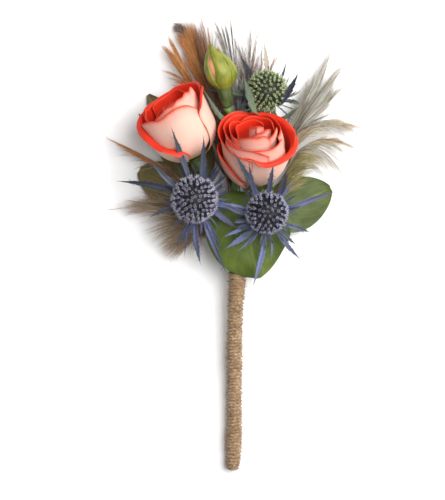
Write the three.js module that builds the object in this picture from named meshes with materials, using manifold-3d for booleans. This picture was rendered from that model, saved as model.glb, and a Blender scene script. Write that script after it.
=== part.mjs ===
// Boutonniere lying on its back: an open and a half-open spray rose, a rosebud, three sea-holly
// heads, leaves and feathers on taped wire stems, bound into a handle wrapped in jute twine.
// Millimetres. +Z is up, away from the surface it lies on; +Y runs from the handle to the flowers.
import * as THREE from 'three';
import { mergeVertices } from 'three/addons/utils/BufferGeometryUtils.js';
import Module from 'manifold-3d';

const wasm = await Module();
wasm.setup();

const point = (x, y, z) => new THREE.Vector3(x, y, z);
const degrees = THREE.MathUtils.degToRad;
const mix = THREE.MathUtils.lerp;

// ---------------------------------------------------------------- driving dimensions

const GAP = 0.3; // clearance between touching pieces
const WELD = 0.08; // corners closer than this are one
const GOLDEN_ANGLE = degrees(137.5); // turn from one petal to the next

// The core line that every stem follows: up the handle, through the neck, to the binding point.
const CORE = new THREE.CatmullRomCurve3([
  point(-1.5, -92.7, 3.1),
  point(-1.0, -80, 3.4),
  point(-0.7, -49, 5.6),
  point(-0.5, -31, 7),
  point(0.5, -12, 8.5),
  point(0.9, -2, 9.2),
]);
const CORE_START = -92.7;
const CORE_END = -2;
const CORE_STATIONS = [-70, -49, -31]; // where both sleeves bend with the core

const TWINE_TOP = -11.9;
const TWINE_BORE = 2.6;
const TWINE_WRAP = [
  // [place along Y, outer radius]
  [-92.4, 1.7],
  [-91.4, 2.5],
  [-89.5, 2.9],
  [-80, 3.35],
  [-72, 3],
  [-56, 2.9],
  [-49, 3.15],
  [-31, 3],
  [-20, 3.35],
];
const TWINE_TOP_RADIUS = 3.65;
const TWINE_FLOOR = -90; // inner face of the closed lower end

const TAPE = { inner: 1.9, wall: 0.22, bottom: -89, neck: -11, mouth: 5 };
const MOUTH_SEATS = { along: -5, radius: 3.2 }; // where quills and petioles enter the tape

const WIRE_RADIUS = 0.4;
const WIRE_RING = 1.1; // five wires stand round a sixth
const WIRE_BOTTOM = -88.5;
const WIRE_FREE = -8; // where the wires part

const OPEN_ROSE = {
  name: 'open_rose',
  centre: point(7.9, 38.2, 27.2),
  axis: point(-0.03, 0.7, 0.714),
  radius: 15.3,
  depth: 19.5,
  rise: 5.5,
  riseCore: 7,
  flare: 1.5,
  flareCore: -1.6,
  fold: 0,
  foldRise: 5.5,
  pitch: 0.86,
  petals: 14,
  petalTurn: degrees(72),
  firstPetal: degrees(8),
};

const HALF_OPEN_ROSE = {
  name: 'half_open_rose',
  centre: point(-21.8, 45.1, 21.2),
  axis: point(-0.42, 0.84, 0.34),
  radius: 13.8,
  depth: 13.2,
  rise: 14.8,
  riseCore: 17,
  flare: 0.2,
  flareCore: -4.8,
  fold: 4.2,
  foldRise: 8.5,
  pitch: 0.92,
  petals: 8,
  petalTurn: degrees(72),
  firstPetal: degrees(-75),
};

const HIP_LENGTH = 6.4; // of the swollen stem end below a flower
const PETAL = { thickness: 0.5, foot: 0.2, droop: 0.5 };
const SEPAL = { thickness: 0.5, turn: degrees(17), reach: 0.85 };

const BUD = {
  base: point(-4.6, 60.6, 17.6),
  axis: point(-0.17, 0.95, 0.22),
  length: 19,
  widest: 7,
  radius: 5.2,
  sepalGap: 0.9,
};

const THISTLES = {
  left: {
    base: point(-15.9, 16.6, 21),
    axis: point(-0.15, 0.1, 0.98),
    radius: 9.6,
    height: 15,
    tips: [
      point(-25.9, 45.6, 41),
      point(-13, 41.9, 38),
      point(-34.4, 32.8, 26),
      point(-48.2, 24.7, 17),
      point(-35, 10, 19),
      point(-24.5, -1.5, 17),
      point(-14.4, -9, 15),
      point(-4, -12.5, 17),
      point(0.2, 5.5, 21),
      point(-6.2, 29.5, 31),
    ],
  },
  right: {
    base: point(12.3, 10, 23),
    axis: point(0.05, 0.02, 0.998),
    radius: 8.7,
    height: 14,
    tips: [
      point(-2.1, 36.3, 45),
      point(4.6, 31.6, 48),
      point(14.3, 30.9, 47.5),
      point(19.6, 28.5, 41),
      point(40.3, 20.8, 18),
      point(29.5, 4.2, 19),
      point(26.2, -7.3, 17),
      point(6.5, -17.9, 18),
      point(-4.6, -2.5, 19),
      point(-5.6, 15.2, 29),
    ],
  },
  back: {
    base: point(12.6, 57.8, 12.6),
    axis: point(-0.05, 0.6, 0.8),
    radius: 9.2,
    height: 14,
    tips: [
      point(2.7, 68, 24),
      point(1.2, 75.4, 16),
      point(11, 82, 13),
      point(24.6, 67.8, 19),
      point(25.7, 55.5, 15),
      point(-13.9, 62.2, 10),
    ],
  },
};
const BRACT = { halfWidth: 1.15, thickness: 0.5, collar: 4 };

const STEMS = [
  // wire: place in the ring of five, or -1 for the middle; via: points between neck and flower
  { name: 'open_rose', wire: -1, radius: 1.6, via: [point(3, 6, 9), point(7.5, 16, 9.4)] },
  { name: 'half_open_rose', wire: 2, radius: 1.6, via: [point(-4.5, 8, 8), point(-14, 22, 11)] },
  {
    name: 'rosebud',
    wire: 3,
    radius: 1.5,
    via: [point(-1.5, 12, 6.5), point(0.5, 34, 7), point(-1, 46, 11)],
  },
  {
    name: 'left_thistle',
    wire: 1,
    radius: 1.1,
    via: [point(-1.6, -2, 11.2), point(-8, 6, 12.6), point(-14, 13, 15.6)],
  },
  {
    name: 'right_thistle',
    wire: 0,
    radius: 1.1,
    via: [point(2.5, -2, 11), point(7, 2.5, 12.6), point(11.4, 7.5, 17)],
  },
  { name: 'back_thistle', wire: 4, radius: 1.1, via: [point(5.5, 8, 4.5), point(12, 34, 5.2)] },
];

const LEAVES = [
  // seat: turn round the tape's mouth; path: along the midrib to the tip; petiole: share of it
  {
    name: 'leaf_right',
    seat: 72,
    path: [point(6.4, 3.4, 9.1), point(11, 9, 6.7), point(24, 15.5, 3.4), point(38.7, 22.3, 0.5)],
    halfWidth: 11,
    petiole: 0.52,
    blunt: 0.55,
    cup: 0.6,
  },
  {
    name: 'leaf_front',
    path: [point(6.8, 21, 14.6), point(4.6, 13, 17.6), point(5.8, -2, 16.4), point(9.2, -14.4, 14)],
    halfWidth: 17.5,
    petiole: 0.03,
    blunt: 0.6,
    cup: -2.2,
  },
  {
    name: 'leaf_left',
    seat: 212,
    path: [point(-11, 12, 5.5), point(-23, 21, 3), point(-39.6, 29.6, 0.5)],
    halfWidth: 10.5,
    petiole: 0.32,
    blunt: 0.5,
    cup: 1,
  },
  {
    name: 'leaf_upper_left',
    seat: 238,
    path: [point(-8.5, 14, 3.4), point(-17.5, 33, 2.6), point(-36, 60.6, 0.5)],
    halfWidth: 10.4,
    petiole: 0.5,
    blunt: 0.8,
    cup: 0.8,
  },
];
const LEAF_THICKNESS = 0.4;
const PETIOLE_HALF_WIDTH = 0.6;

const FEATHERS = [
  // seat: turn round the tape's mouth; path: quill, then shaft to the tip; quill: bare share of it
  {
    name: 'feather_copper',
    seat: 260,
    path: [point(-4.5, 30, 3.6), point(-10.5, 58, 3.8), point(-23.5, 92.2, 1.2)],
    halfWidth: 7,
    quill: 0.6,
  },
  {
    name: 'feather_copper_split',
    path: [point(-5.6, 31, 4.5), point(-12, 50, 5.8), point(-19.5, 66, 6.2), point(-31, 80.5, 4.6)],
    halfWidth: 4,
    quill: 0.52,
  },
  {
    name: 'feather_brown',
    seat: 280,
    path: [point(-2.5, 30, 2.8), point(-8, 58, 7), point(-13.2, 89, 7)],
    halfWidth: 4.4,
    quill: 0.6,
  },
  {
    name: 'feather_grey_strands',
    seat: 300,
    path: [point(1, 30, 3), point(-0.5, 62, 8), point(-6.5, 92.5, 9)],
    halfWidth: 4.6,
    quill: 0.62,
  },
  {
    name: 'feather_grey_fluff',
    seat: 320,
    path: [point(3.2, 3, 4.6), point(4, 30, 3), point(5.4, 58, 5), point(4.4, 86, 7.4)],
    halfWidth: 7,
    quill: 0.74,
  },
  {
    name: 'feather_wisps',
    seat: 340,
    path: [point(7.6, 30, 3), point(10.5, 60, 7.2), point(19, 80.5, 6.6)],
    halfWidth: 3,
    quill: 0.7,
  },
  {
    name: 'plume_right_1',
    seat: 0,
    path: [point(11, 24, 3), point(20, 48, 5.6), point(38, 77.5, 0.6)],
    halfWidth: 6.5,
    quill: 0.5,
  },
  {
    name: 'plume_right_2',
    seat: 20,
    path: [point(7.6, 7, 6.1), point(13.5, 24, 3.6), point(22, 45, 6), point(44.6, 71.5, 1.8)],
    halfWidth: 5.5,
    quill: 0.62,
  },
  {
    name: 'plume_right_3',
    seat: 40,
    path: [point(7.2, 6, 7.4), point(15, 24, 6.6), point(30, 45.5, 7.6), point(53.3, 48.2, 4.4)],
    halfWidth: 6,
    quill: 0.6,
  },
  {
    name: 'plume_right_4',
    path: [point(7.6, 5.2, 9.2), point(17, 22.5, 7), point(33, 36, 8.4), point(51.4, 36, 6.4)],
    halfWidth: 5,
    quill: 0.48,
  },
  {
    name: 'plume_left_1',
    seat: 190,
    path: [point(-13, 15, 7.8), point(-30, 29.5, 7), point(-53.3, 43.2, 5)],
    halfWidth: 6,
    quill: 0.4,
  },
  {
    name: 'plume_left_2',
    seat: 170,
    path: [point(-12, 10, 9), point(-28, 15.4, 7.4), point(-53.6, 13.2, 3)],
    halfWidth: 8,
    quill: 0.3,
  },
  {
    name: 'plume_left_3',
    seat: 150,
    path: [point(-9, 4.5, 11), point(-17, 4, 9), point(-27.5, -6.8, 4.4)],
    halfWidth: 7.5,
    quill: 0.3,
  },
];
const FEATHER_THICKNESS = 0.4;
const QUILL_HALF_WIDTH = 0.45;

const LOOKS = {
  twine: { color: 0xb0895f, roughness: 0.95 },
  tape: { color: 0x5c6b3a, roughness: 0.6 },
  stem: { color: 0x6f8a45, roughness: 0.7 },
  sepal: { color: 0x8ca53c, roughness: 0.7 },
  petal: { color: 0xf0664a, roughness: 0.75 },
  budPetal: { color: 0xd98a66, roughness: 0.75 },
  floret: { color: 0x6d6a8a, roughness: 0.85 },
  bract: { color: 0x64699a, roughness: 0.7 },
  leaf: { color: 0x6b8638, roughness: 0.6 },
  feather: { color: 0xa98c70, roughness: 0.9 },
};

// ---------------------------------------------------------------- closed meshes as solids

// Vertices shared between faces, collapsed faces dropped, faces turned outwards.
function closedMesh(geometry) {
  const bare = geometry.index ? geometry.clone() : geometry;
  bare.deleteAttribute('normal');
  bare.deleteAttribute('uv');
  const merged = mergeVertices(bare, 1e-4);
  const places = Float32Array.from(merged.attributes.position.array);
  const index = merged.index.array;
  const corner = (i) => new THREE.Vector3().fromArray(places, 3 * i);
  const faces = [];
  let volume = 0;
  for (let i = 0; i < index.length; i += 3) {
    const [a, b, c] = index.slice(i, i + 3);
    if (a === b || b === c || c === a) continue;
    faces.push([a, b, c]);
    volume += corner(a).dot(corner(b).cross(corner(c)));
  }
  if (volume < 0) faces.forEach((face) => face.reverse());
  return { places, faces };
}

function solidOf({ places, faces }) {
  const mesh = new wasm.Mesh({
    numProp: 3,
    vertProperties: places,
    triVerts: Uint32Array.from(faces.flat()),
  });
  return new wasm.Manifold(mesh);
}

// The same mesh with every face moved outwards by a distance.
function grown({ places, faces }, distance) {
  const around = Array.from({ length: places.length / 3 }, () => []);
  const corner = (i) => new THREE.Vector3().fromArray(places, 3 * i);
  for (const [a, b, c] of faces) {
    const normal = corner(b).sub(corner(a)).cross(corner(c).sub(corner(a))).normalize();
    for (const i of [a, b, c]) around[i].push(normal);
  }
  const moved = Float32Array.from(places);
  around.forEach((normals, i) => {
    const outward = new THREE.Vector3();
    const kinds = [];
    for (const normal of normals) {
      if (kinds.some((known) => known.dot(normal) > 0.97)) continue;
      kinds.push(normal);
      outward.add(normal);
    }
    outward.normalize();
    const least = Math.min(...normals.map((normal) => normal.dot(outward)));
    corner(i).addScaledVector(outward, distance / Math.max(least, 0.5)).toArray(moved, 3 * i);
  });
  return { places: moved, faces };
}

// Groups of numbers: join puts two in one group, and root gives the number that names the group.
function groups() {
  const parent = new Map();
  const root = (i) => {
    while (parent.has(i)) i = parent.get(i);
    return i;
  };
  const join = (i, j) => {
    const [a, b] = [root(i), root(j)];
    if (a !== b) parent.set(a, b);
  };
  return { root, join };
}

// The faces of the largest connected shell: a corner of clearance shut inside a piece is filled.
function outerShell(triVerts) {
  const { root, join } = groups();
  for (let i = 0; i < triVerts.length; i += 3) {
    join(triVerts[i], triVerts[i + 1]);
    join(triVerts[i + 1], triVerts[i + 2]);
  }
  const shells = new Map();
  for (let i = 0; i < triVerts.length; i += 3) {
    const key = root(triVerts[i]);
    if (!shells.has(key)) shells.set(key, []);
    shells.get(key).push(...triVerts.slice(i, i + 3));
  }
  return [...shells.values()].sort((a, b) => b.length - a.length)[0];
}

// A cut leaves slivers: corners closer than the weld are drawn into one, if the solid stays sound.
function welded(solid) {
  const { vertProperties, triVerts } = solid.getMesh();
  const corner = (i) => new THREE.Vector3().fromArray(vertProperties, 3 * i);
  const { root, join } = groups();
  for (let i = 0; i < triVerts.length; i += 3) {
    for (const k of [0, 1, 2]) {
      const [a, b] = [triVerts[i + k], triVerts[i + ((k + 1) % 3)]];
      if (corner(a).distanceTo(corner(b)) < WELD) join(a, b);
    }
  }
  const faces = [];
  for (let i = 0; i < triVerts.length; i += 3) {
    const face = [0, 1, 2].map((k) => root(triVerts[i + k]));
    if (new Set(face).size === 3) faces.push(face);
  }
  try {
    return solidOf({ places: vertProperties, faces }).simplify(0.1);
  } catch {
    return solid;
  }
}

const boutonniere = new THREE.Group();
const placed = []; // what already stands, grown by the clearance

function boxesMeet(one, other) {
  return [0, 1, 2].every((k) => one.min[k] <= other.max[k] && other.min[k] <= one.max[k]);
}

// One named piece, joined from its shapes and cut back from the pieces already placed.
function addPiece(name, look, ...geometries) {
  const meshes = geometries.map(closedMesh);
  let solid = wasm.Manifold.union(meshes.map(solidOf));
  const box = solid.boundingBox();
  for (const other of placed) {
    if (boxesMeet(box, other.box)) solid = solid.subtract(other.solid);
  }
  const largest = solid.decompose().sort((a, b) => b.volume() - a.volume())[0];
  const { vertProperties, triVerts } = welded(largest.simplify(0.1)).getMesh();
  const geometry = new THREE.BufferGeometry();
  geometry.setAttribute('position', new THREE.BufferAttribute(vertProperties, 3));
  geometry.setIndex(outerShell(triVerts));
  const material = new THREE.MeshStandardMaterial({ ...LOOKS[look], metalness: 0 });
  const mesh = new THREE.Mesh(geometry, material);
  mesh.name = name;
  boutonniere.add(mesh);
  for (const shape of meshes) {
    const guard = solidOf(grown(shape, GAP));
    placed.push({ solid: guard, box: guard.boundingBox() });
  }
}

// ---------------------------------------------------------------- shapes

function mapVertices(geometry, place) {
  const position = geometry.attributes.position;
  for (let i = 0; i < position.count; i += 1) {
    const to = place(position.getX(i), position.getY(i), position.getZ(i));
    position.setXYZ(i, to.x, to.y, to.z);
  }
  return geometry;
}

// A sheet of even thickness on a surface: across runs from -1 to 1 and along from 0 to 1.
function sheet(surface, thickness, acrossSteps, alongSteps) {
  const step = 1e-3;
  const box = new THREE.BoxGeometry(2, 1, 1, acrossSteps, alongSteps, 1);
  return mapVertices(box, (x, y, z) => {
    const along = y + 0.5;
    const side = surface(x + step, along).sub(surface(x - step, along));
    const run = surface(x, along + step).sub(surface(x, along - step));
    const normal = side.cross(run).normalize();
    return surface(x, along).addScaledVector(normal, z * thickness);
  });
}

// A flat strip along a curve; up says which way its face looks.
function strip(curve, up, halfWidth, thickness, acrossSteps, alongSteps, cup = 0) {
  const surface = (across, along) => {
    const t = THREE.MathUtils.clamp(along, 0, 1);
    const tangent = curve.getTangent(t);
    const side = tangent.clone().cross(up).normalize();
    const face = side.clone().cross(tangent);
    const spine = curve.getPoint(t).addScaledVector(tangent, (along - t) * curve.getLength());
    const half = halfWidth(t);
    const sag = cup * across * across * Math.min(1, half);
    return spine.addScaledVector(side, across * half).addScaledVector(face, sag);
  };
  return sheet(surface, thickness, acrossSteps, alongSteps);
}

// A round bar along a curve, with its radius given along the way.
function bar(curve, radius, sides, steps) {
  const frames = curve.computeFrenetFrames(steps);
  const cylinder = new THREE.CylinderGeometry(1, 1, steps, sides, steps);
  return mapVertices(cylinder, (x, y, z) => {
    const k = Math.round(y + steps / 2);
    const at = k / steps;
    return curve
      .getPointAt(at)
      .addScaledVector(frames.normals[k], x * radius(at))
      .addScaledVector(frames.binormals[k], -z * radius(at));
  });
}

// A turned shape: outline points are [radius, height] along an axis from an origin.
function turned(outline, origin, axis, sides) {
  const profile = outline.map(([radius, height]) => new THREE.Vector2(radius, height));
  const lathe = new THREE.LatheGeometry(profile, sides);
  const turn = new THREE.Quaternion().setFromUnitVectors(point(0, 1, 0), axis.clone().normalize());
  return lathe.applyQuaternion(turn).translate(origin.x, origin.y, origin.z);
}

const coreAt = (y) => CORE.getPoint(coreShare(y));

// The core runs nearly along Y, so its share is found by halving on Y.
function coreShare(y) {
  let low = 0;
  let high = 1;
  for (let i = 0; i < 30; i += 1) {
    const middle = (low + high) / 2;
    if (CORE.getPoint(middle).y < y) low = middle;
    else high = middle;
  }
  return (low + high) / 2;
}

// A sleeve round the core: outline points are [radius, place along Y].
function coreSleeve(outline, sides) {
  const profile = outline.map(([radius, y]) => new THREE.Vector2(radius, y));
  const lathe = new THREE.LatheGeometry(profile, sides);
  return mapVertices(lathe, (x, y, z) => {
    const share = THREE.MathUtils.clamp(coreShare(y), 0.001, 0.999);
    const tangent = CORE.getTangent(share);
    const side = tangent.clone().cross(point(0, 0, 1)).normalize();
    const up = side.clone().cross(tangent);
    return coreAt(y).addScaledVector(side, x).addScaledVector(up, z);
  });
}

// ---------------------------------------------------------------- handle

function addTwine() {
  const outline = [
    [0, CORE_START],
    ...TWINE_WRAP.map(([y, radius]) => [radius, y]),
    [TWINE_TOP_RADIUS, TWINE_TOP],
    [TWINE_BORE, TWINE_TOP],
    ...CORE_STATIONS.toReversed().map((y) => [TWINE_BORE, y]),
    [TWINE_BORE, TWINE_FLOOR],
    [0, TWINE_FLOOR],
  ];
  addPiece('twine_wrap', 'twine', coreSleeve(outline, 14));
}

function addTape() {
  const { inner, wall, bottom, neck, mouth } = TAPE;
  const outline = [
    [inner, bottom],
    [inner + wall, bottom],
    ...CORE_STATIONS.map((y) => [inner + wall, y]),
    [inner + wall, neck],
    [mouth + wall, CORE_END - 1],
    [mouth, CORE_END - 1],
    [inner, neck],
    ...CORE_STATIONS.toReversed().map((y) => [inner, y]),
    [inner, bottom],
  ];
  addPiece('floral_tape', 'tape', coreSleeve(outline, 12));
}

function addStem({ name, wire, radius, via }, end) {
  const turn = degrees(54 + 72 * wire);
  const ring = wire < 0 ? 0 : WIRE_RING;
  const offset = point(ring * Math.cos(turn), 0, ring * Math.sin(turn));
  const inHandle = [WIRE_BOTTOM, ...CORE_STATIONS, -16, WIRE_FREE].map((y) => coreAt(y).add(offset));
  const curve = new THREE.CatmullRomCurve3([...inHandle, ...via, end], false, 'centripetal');
  const freeShare = 1 - curve.getPointAt(0).distanceTo(inHandle.at(-1)) / curve.getLength();
  const grow = (at) => THREE.MathUtils.smoothstep(at, 1 - freeShare, 1 - freeShare * 0.35);
  addPiece(`${name}_stem`, 'stem', bar(curve, (at) => mix(WIRE_RADIUS, radius, grow(at)), 8, 16));
}

// ---------------------------------------------------------------- roses

// Three directions of a flower: its axis, the side that looks up from the surface, and across.
function flowerFrame({ centre, axis }) {
  const along = axis.clone().normalize();
  const front = point(0, 0, 1).addScaledVector(along, -along.z).normalize();
  const right = along.clone().cross(front);
  return (radius, turn, height) =>
    centre
      .clone()
      .addScaledVector(front, radius * Math.cos(turn))
      .addScaledVector(right, radius * Math.sin(turn))
      .addScaledVector(along, height);
}

// Petal shells nest: each is one pitch smaller than the one outside it. From 0 to 1 a petal
// follows the bowl of an ellipsoid up to its widest ring, and from 1 to 2 it rises above it.
function shellPoint(rose, shell, level) {
  const inward = Math.max(shell, 0) / rose.petals;
  const radius = rose.radius - shell * rose.pitch;
  const depth = rose.depth - shell * rose.pitch;
  if (level <= 1) {
    const angle = (level * Math.PI) / 2;
    return [radius * Math.sin(angle), -depth * Math.cos(angle)];
  }
  const above = level - 1;
  const outermost = shell === 0;
  const flare = mix(rose.flare, rose.flareCore, inward) + (outermost ? rose.fold : 0);
  const rise = outermost ? rose.foldRise : mix(rose.rise, rose.riseCore, inward);
  return [radius + flare * above * above, rise * above];
}

function addPetal(rose, number) {
  const place = flowerFrame(rose);
  const middle = rose.firstPetal + number * GOLDEN_ANGLE;
  const surface = (across, along) => {
    const top = 2 - PETAL.droop * across * across;
    const [radius, height] = shellPoint(rose, number, mix(PETAL.foot, top, along));
    const spread = rose.petalTurn * (0.62 + 0.38 * Math.sin((Math.min(1, along * 1.4) * Math.PI) / 2));
    return place(radius, middle + across * spread, height);
  };
  const label = String(number + 1).padStart(2, '0');
  addPiece(`${rose.name}_petal_${label}`, 'petal', sheet(surface, PETAL.thickness, 5, 5));
}

// The innermost petals are furled into one tight core.
function addHeart(rose) {
  const [radius, foot] = [rose.radius - rose.petals * rose.pitch, rose.depth - rose.petals * rose.pitch];
  const outline = [
    [0, -foot],
    [radius * 0.6, -foot * 0.8],
    [radius * 0.92, -foot * 0.4],
    [radius, 0],
    [radius * 0.86, rose.riseCore * 0.4],
    [radius * 0.5, rose.riseCore * 0.75],
    [0, rose.riseCore * 0.85],
  ];
  addPiece(`${rose.name}_heart`, 'petal', turned(outline, rose.centre, rose.axis, 12));
}

// Hip, the receptacle that carries the petals, and five sepals that hug the bowl.
function addRoseCalyx(rose) {
  const foot = (PETAL.foot * Math.PI) / 2;
  const inner = rose.petals - 1;
  const baseRadius = rose.radius * Math.sin(foot) - 0.7;
  const topRadius = Math.max(0.6, (rose.radius - inner * rose.pitch) * Math.sin(foot) - 0.7);
  const topHeight = -(rose.depth - inner * rose.pitch) * Math.cos(foot) - 0.2;
  const base = -rose.depth;
  const outline = [
    [0, base - HIP_LENGTH],
    [1.8, base - HIP_LENGTH + 0.2],
    [3.1, base - 4.6],
    [3.3, base - 2.8],
    [2.6, base - 1],
    [baseRadius, base + 0.2],
    [topRadius, topHeight],
    [0, topHeight],
  ];
  const place = flowerFrame(rose);
  const sepals = [0, 1, 2, 3, 4].map((number) => {
    const middle = degrees(36 + 72 * number);
    const surface = (across, along) => {
      const [radius, height] = shellPoint(rose, -1, mix(0.06, SEPAL.reach, along));
      const spread = SEPAL.turn * (1.6 - 1.5 * along);
      return place(radius, middle + across * spread, height);
    };
    return sheet(surface, SEPAL.thickness, 2, 5);
  });
  const hip = turned(outline, rose.centre, rose.axis, 10);
  addPiece(`${rose.name}_calyx`, 'sepal', hip, ...sepals);
}

function hipEnd(rose) {
  return flowerFrame(rose)(0, 0, -rose.depth - HIP_LENGTH - GAP);
}

// ---------------------------------------------------------------- rosebud

// The bud is an egg: its radius at a height above its base.
function budRadius(height) {
  const reach = height > BUD.widest ? BUD.length - BUD.widest : BUD.widest * 1.25;
  return BUD.radius * Math.sqrt(Math.max(0, 1 - ((height - BUD.widest) / reach) ** 2));
}

function addRosebud() {
  const heights = [0.7, 3, 7, 11, 14.5, 17.5];
  const flank = heights.map((height) => [budRadius(height), height]);
  const outline = [[0, heights[0]], ...flank, [0, BUD.length]];
  const place = flowerFrame({ centre: BUD.base, axis: BUD.axis });
  const sepals = [0, 1, 2, 3, 4].map((number) => {
    const middle = degrees(20 + 72 * number);
    const surface = (across, along) => {
      const height = mix(-0.4, BUD.length * 0.98, along);
      const spread = degrees(31) * (1 - 0.93 * along ** 3);
      const radius = budRadius(Math.max(0.2, height)) + BUD.sepalGap;
      return place(radius, middle + across * spread, height);
    };
    return sheet(surface, SEPAL.thickness, 2, 5);
  });
  const hip = turned(
    [[0, -HIP_LENGTH], [1.7, -6.2], [2.8, -4.4], [3.3, -2.6], [4.3, -1.2], [4.3, -0.2], [0, 0.2]],
    BUD.base,
    BUD.axis,
    10,
  );
  addPiece('rosebud_calyx', 'sepal', hip, ...sepals);
  addPiece('rosebud_petals', 'budPetal', turned(outline, BUD.base, BUD.axis, 12));
}

const budEnd = () => flowerFrame({ centre: BUD.base, axis: BUD.axis })(0, 0, -HIP_LENGTH - GAP);

// ---------------------------------------------------------------- sea holly

// Spiny bracts stand out from a collar below the head.
function addBracts(name, { base, axis, radius, tips }) {
  const along = axis.clone().normalize();
  const bracts = tips.map((tip) => {
    const reach = tip.clone().sub(base);
    const lift = reach.dot(along);
    const outward = reach.addScaledVector(along, -lift).normalize();
    const start = base.clone().addScaledVector(outward, BRACT.collar * 0.6);
    const shoulder = base
      .clone()
      .addScaledVector(outward, radius + 1.2)
      .addScaledVector(along, Math.max(0, 0.15 * lift));
    const curve = new THREE.QuadraticBezierCurve3(start, shoulder, tip);
    const halfWidth = (t) => BRACT.halfWidth * (1 - 0.85 * t ** 3);
    return strip(curve, along, halfWidth, BRACT.thickness, 1, 5);
  });
  const collar = turned(
    [[0, -0.6], [BRACT.collar, -0.4], [BRACT.collar, 0.4], [0, 0.6]],
    base,
    axis,
    10,
  );
  addPiece(`${name}_thistle_bracts`, 'bract', collar, ...bracts);
}

function addHead(name, { base, axis, radius, height }) {
  const outline = [
    [0, 0.95],
    [radius * 0.62, 1.1],
    [radius * 0.9, height * 0.24],
    [radius, height * 0.45],
    [radius * 0.92, height * 0.66],
    [radius * 0.62, height * 0.88],
    [0, height],
  ];
  addPiece(`${name}_thistle_head`, 'floret', turned(outline, base, axis, 14));
}

const thistleEnd = ({ base, axis }) => base.clone().addScaledVector(axis.clone().normalize(), -0.6 - GAP);

// ---------------------------------------------------------------- leaves and feathers

// A petiole or quill starts in the tape's mouth, at its own turn round the core.
function fromMouth(seat, path) {
  if (seat === undefined) return new THREE.CatmullRomCurve3(path, false, 'centripetal');
  const turn = degrees(seat);
  const start = coreAt(MOUTH_SEATS.along);
  start.x += MOUTH_SEATS.radius * Math.cos(turn);
  start.z += MOUTH_SEATS.radius * Math.sin(turn);
  return new THREE.CatmullRomCurve3([start, ...path], false, 'centripetal');
}

function addLeaf({ name, seat, path, halfWidth, petiole, blunt, cup }) {
  const width = (t) => {
    const blade = (t - petiole) / (1 - petiole);
    if (blade <= 0) return PETIOLE_HALF_WIDTH;
    const half = halfWidth * Math.sin(Math.PI * Math.min(0.985, blade) ** 0.9) ** blunt;
    return Math.max(PETIOLE_HALF_WIDTH, half);
  };
  const up = point(0, 0, 1);
  addPiece(name, 'leaf', strip(fromMouth(seat, path), up, width, LEAF_THICKNESS, 4, 10, cup));
}

function addFeather({ name, seat, path, halfWidth, quill }) {
  const width = (t) => {
    const vane = (t - quill) / (1 - quill);
    if (vane <= 0) return QUILL_HALF_WIDTH;
    return Math.max(QUILL_HALF_WIDTH, halfWidth * Math.sin(Math.PI * Math.min(0.97, vane) ** 0.7) ** 0.8);
  };
  const up = point(0, 0, 1);
  addPiece(name, 'feather', strip(fromMouth(seat, path), up, width, FEATHER_THICKNESS, 2, 9));
}

// ---------------------------------------------------------------- the whole piece

addTwine();
addTape();

const stemEnds = {
  open_rose: hipEnd(OPEN_ROSE),
  half_open_rose: hipEnd(HALF_OPEN_ROSE),
  rosebud: budEnd(),
  left_thistle: thistleEnd(THISTLES.left),
  right_thistle: thistleEnd(THISTLES.right),
  back_thistle: thistleEnd(THISTLES.back),
};
for (const stem of STEMS) addStem(stem, stemEnds[stem.name]);

addRoseCalyx(OPEN_ROSE);
addRoseCalyx(HALF_OPEN_ROSE);
for (const [name, thistle] of Object.entries(THISTLES)) {
  addBracts(name, thistle);
  addHead(name, thistle);
}
addRosebud();

for (const rose of [OPEN_ROSE, HALF_OPEN_ROSE]) {
  for (let number = 0; number < rose.petals; number += 1) addPetal(rose, number);
  addHeart(rose);
}

for (const leaf of LEAVES) addLeaf(leaf);
for (const feather of FEATHERS) addFeather(feather);

export default boutonniere;
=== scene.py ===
# %% [markdown]
# # A boutonniere of spray roses, sea holly, leaves and feathers
#
# A boutonniere is a small bunch for a lapel. Its flowers are cut short, each stem is wired
# and taped, and the wires are gathered into a handle that is wound with jute twine. It has
# no foot to stand on, so it lies on its back, and the camera looks down on it.
#
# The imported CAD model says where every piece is. Blender makes the thin, soft and hairy
# things that a plain solid can only stand for: petals with rolled rims, spiny bracts,
# hundreds of florets and feather barbs, and a strand of twine with its loose fibres.

import bisect
import math
import random

import bmesh
import bpy
from mathutils import Matrix, Vector, noise


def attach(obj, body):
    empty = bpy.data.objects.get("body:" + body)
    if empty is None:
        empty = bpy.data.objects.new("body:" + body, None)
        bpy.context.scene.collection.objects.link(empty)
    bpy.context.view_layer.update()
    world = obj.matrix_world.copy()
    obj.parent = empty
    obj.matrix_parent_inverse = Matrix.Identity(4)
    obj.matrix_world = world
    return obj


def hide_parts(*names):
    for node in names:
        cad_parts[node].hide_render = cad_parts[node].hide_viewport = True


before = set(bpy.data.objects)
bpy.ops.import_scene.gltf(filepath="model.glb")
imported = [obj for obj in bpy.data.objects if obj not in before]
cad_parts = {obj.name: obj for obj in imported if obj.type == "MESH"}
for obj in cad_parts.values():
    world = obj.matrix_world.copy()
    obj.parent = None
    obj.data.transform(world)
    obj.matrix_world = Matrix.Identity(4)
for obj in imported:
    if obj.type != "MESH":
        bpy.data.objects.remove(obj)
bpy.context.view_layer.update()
MM = 0.001  # metres in a millimetre: shapes are worked out in millimetres, as they are measured

# %% [markdown]
# ## Camera, floor and light
#
# The picture is taken from straight above. A long lens far away keeps near and far pieces at
# almost one scale. The scale is known at the height of the flowers, so the lens follows from
# it: the sensor's long side sees as many millimetres as the picture's long side has pixels
# times the scale.

# %% Camera and floor
IMAGE_HEIGHT = 500  # pixels
MM_PER_PIXEL = 0.4  # at the height of the flowers
FLOWER_HEIGHT = 20  # mm above the table, as all places and sizes from here on
CAMERA_PLACE = (-5.6, -3.0, 900)
SENSOR = 36

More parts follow.
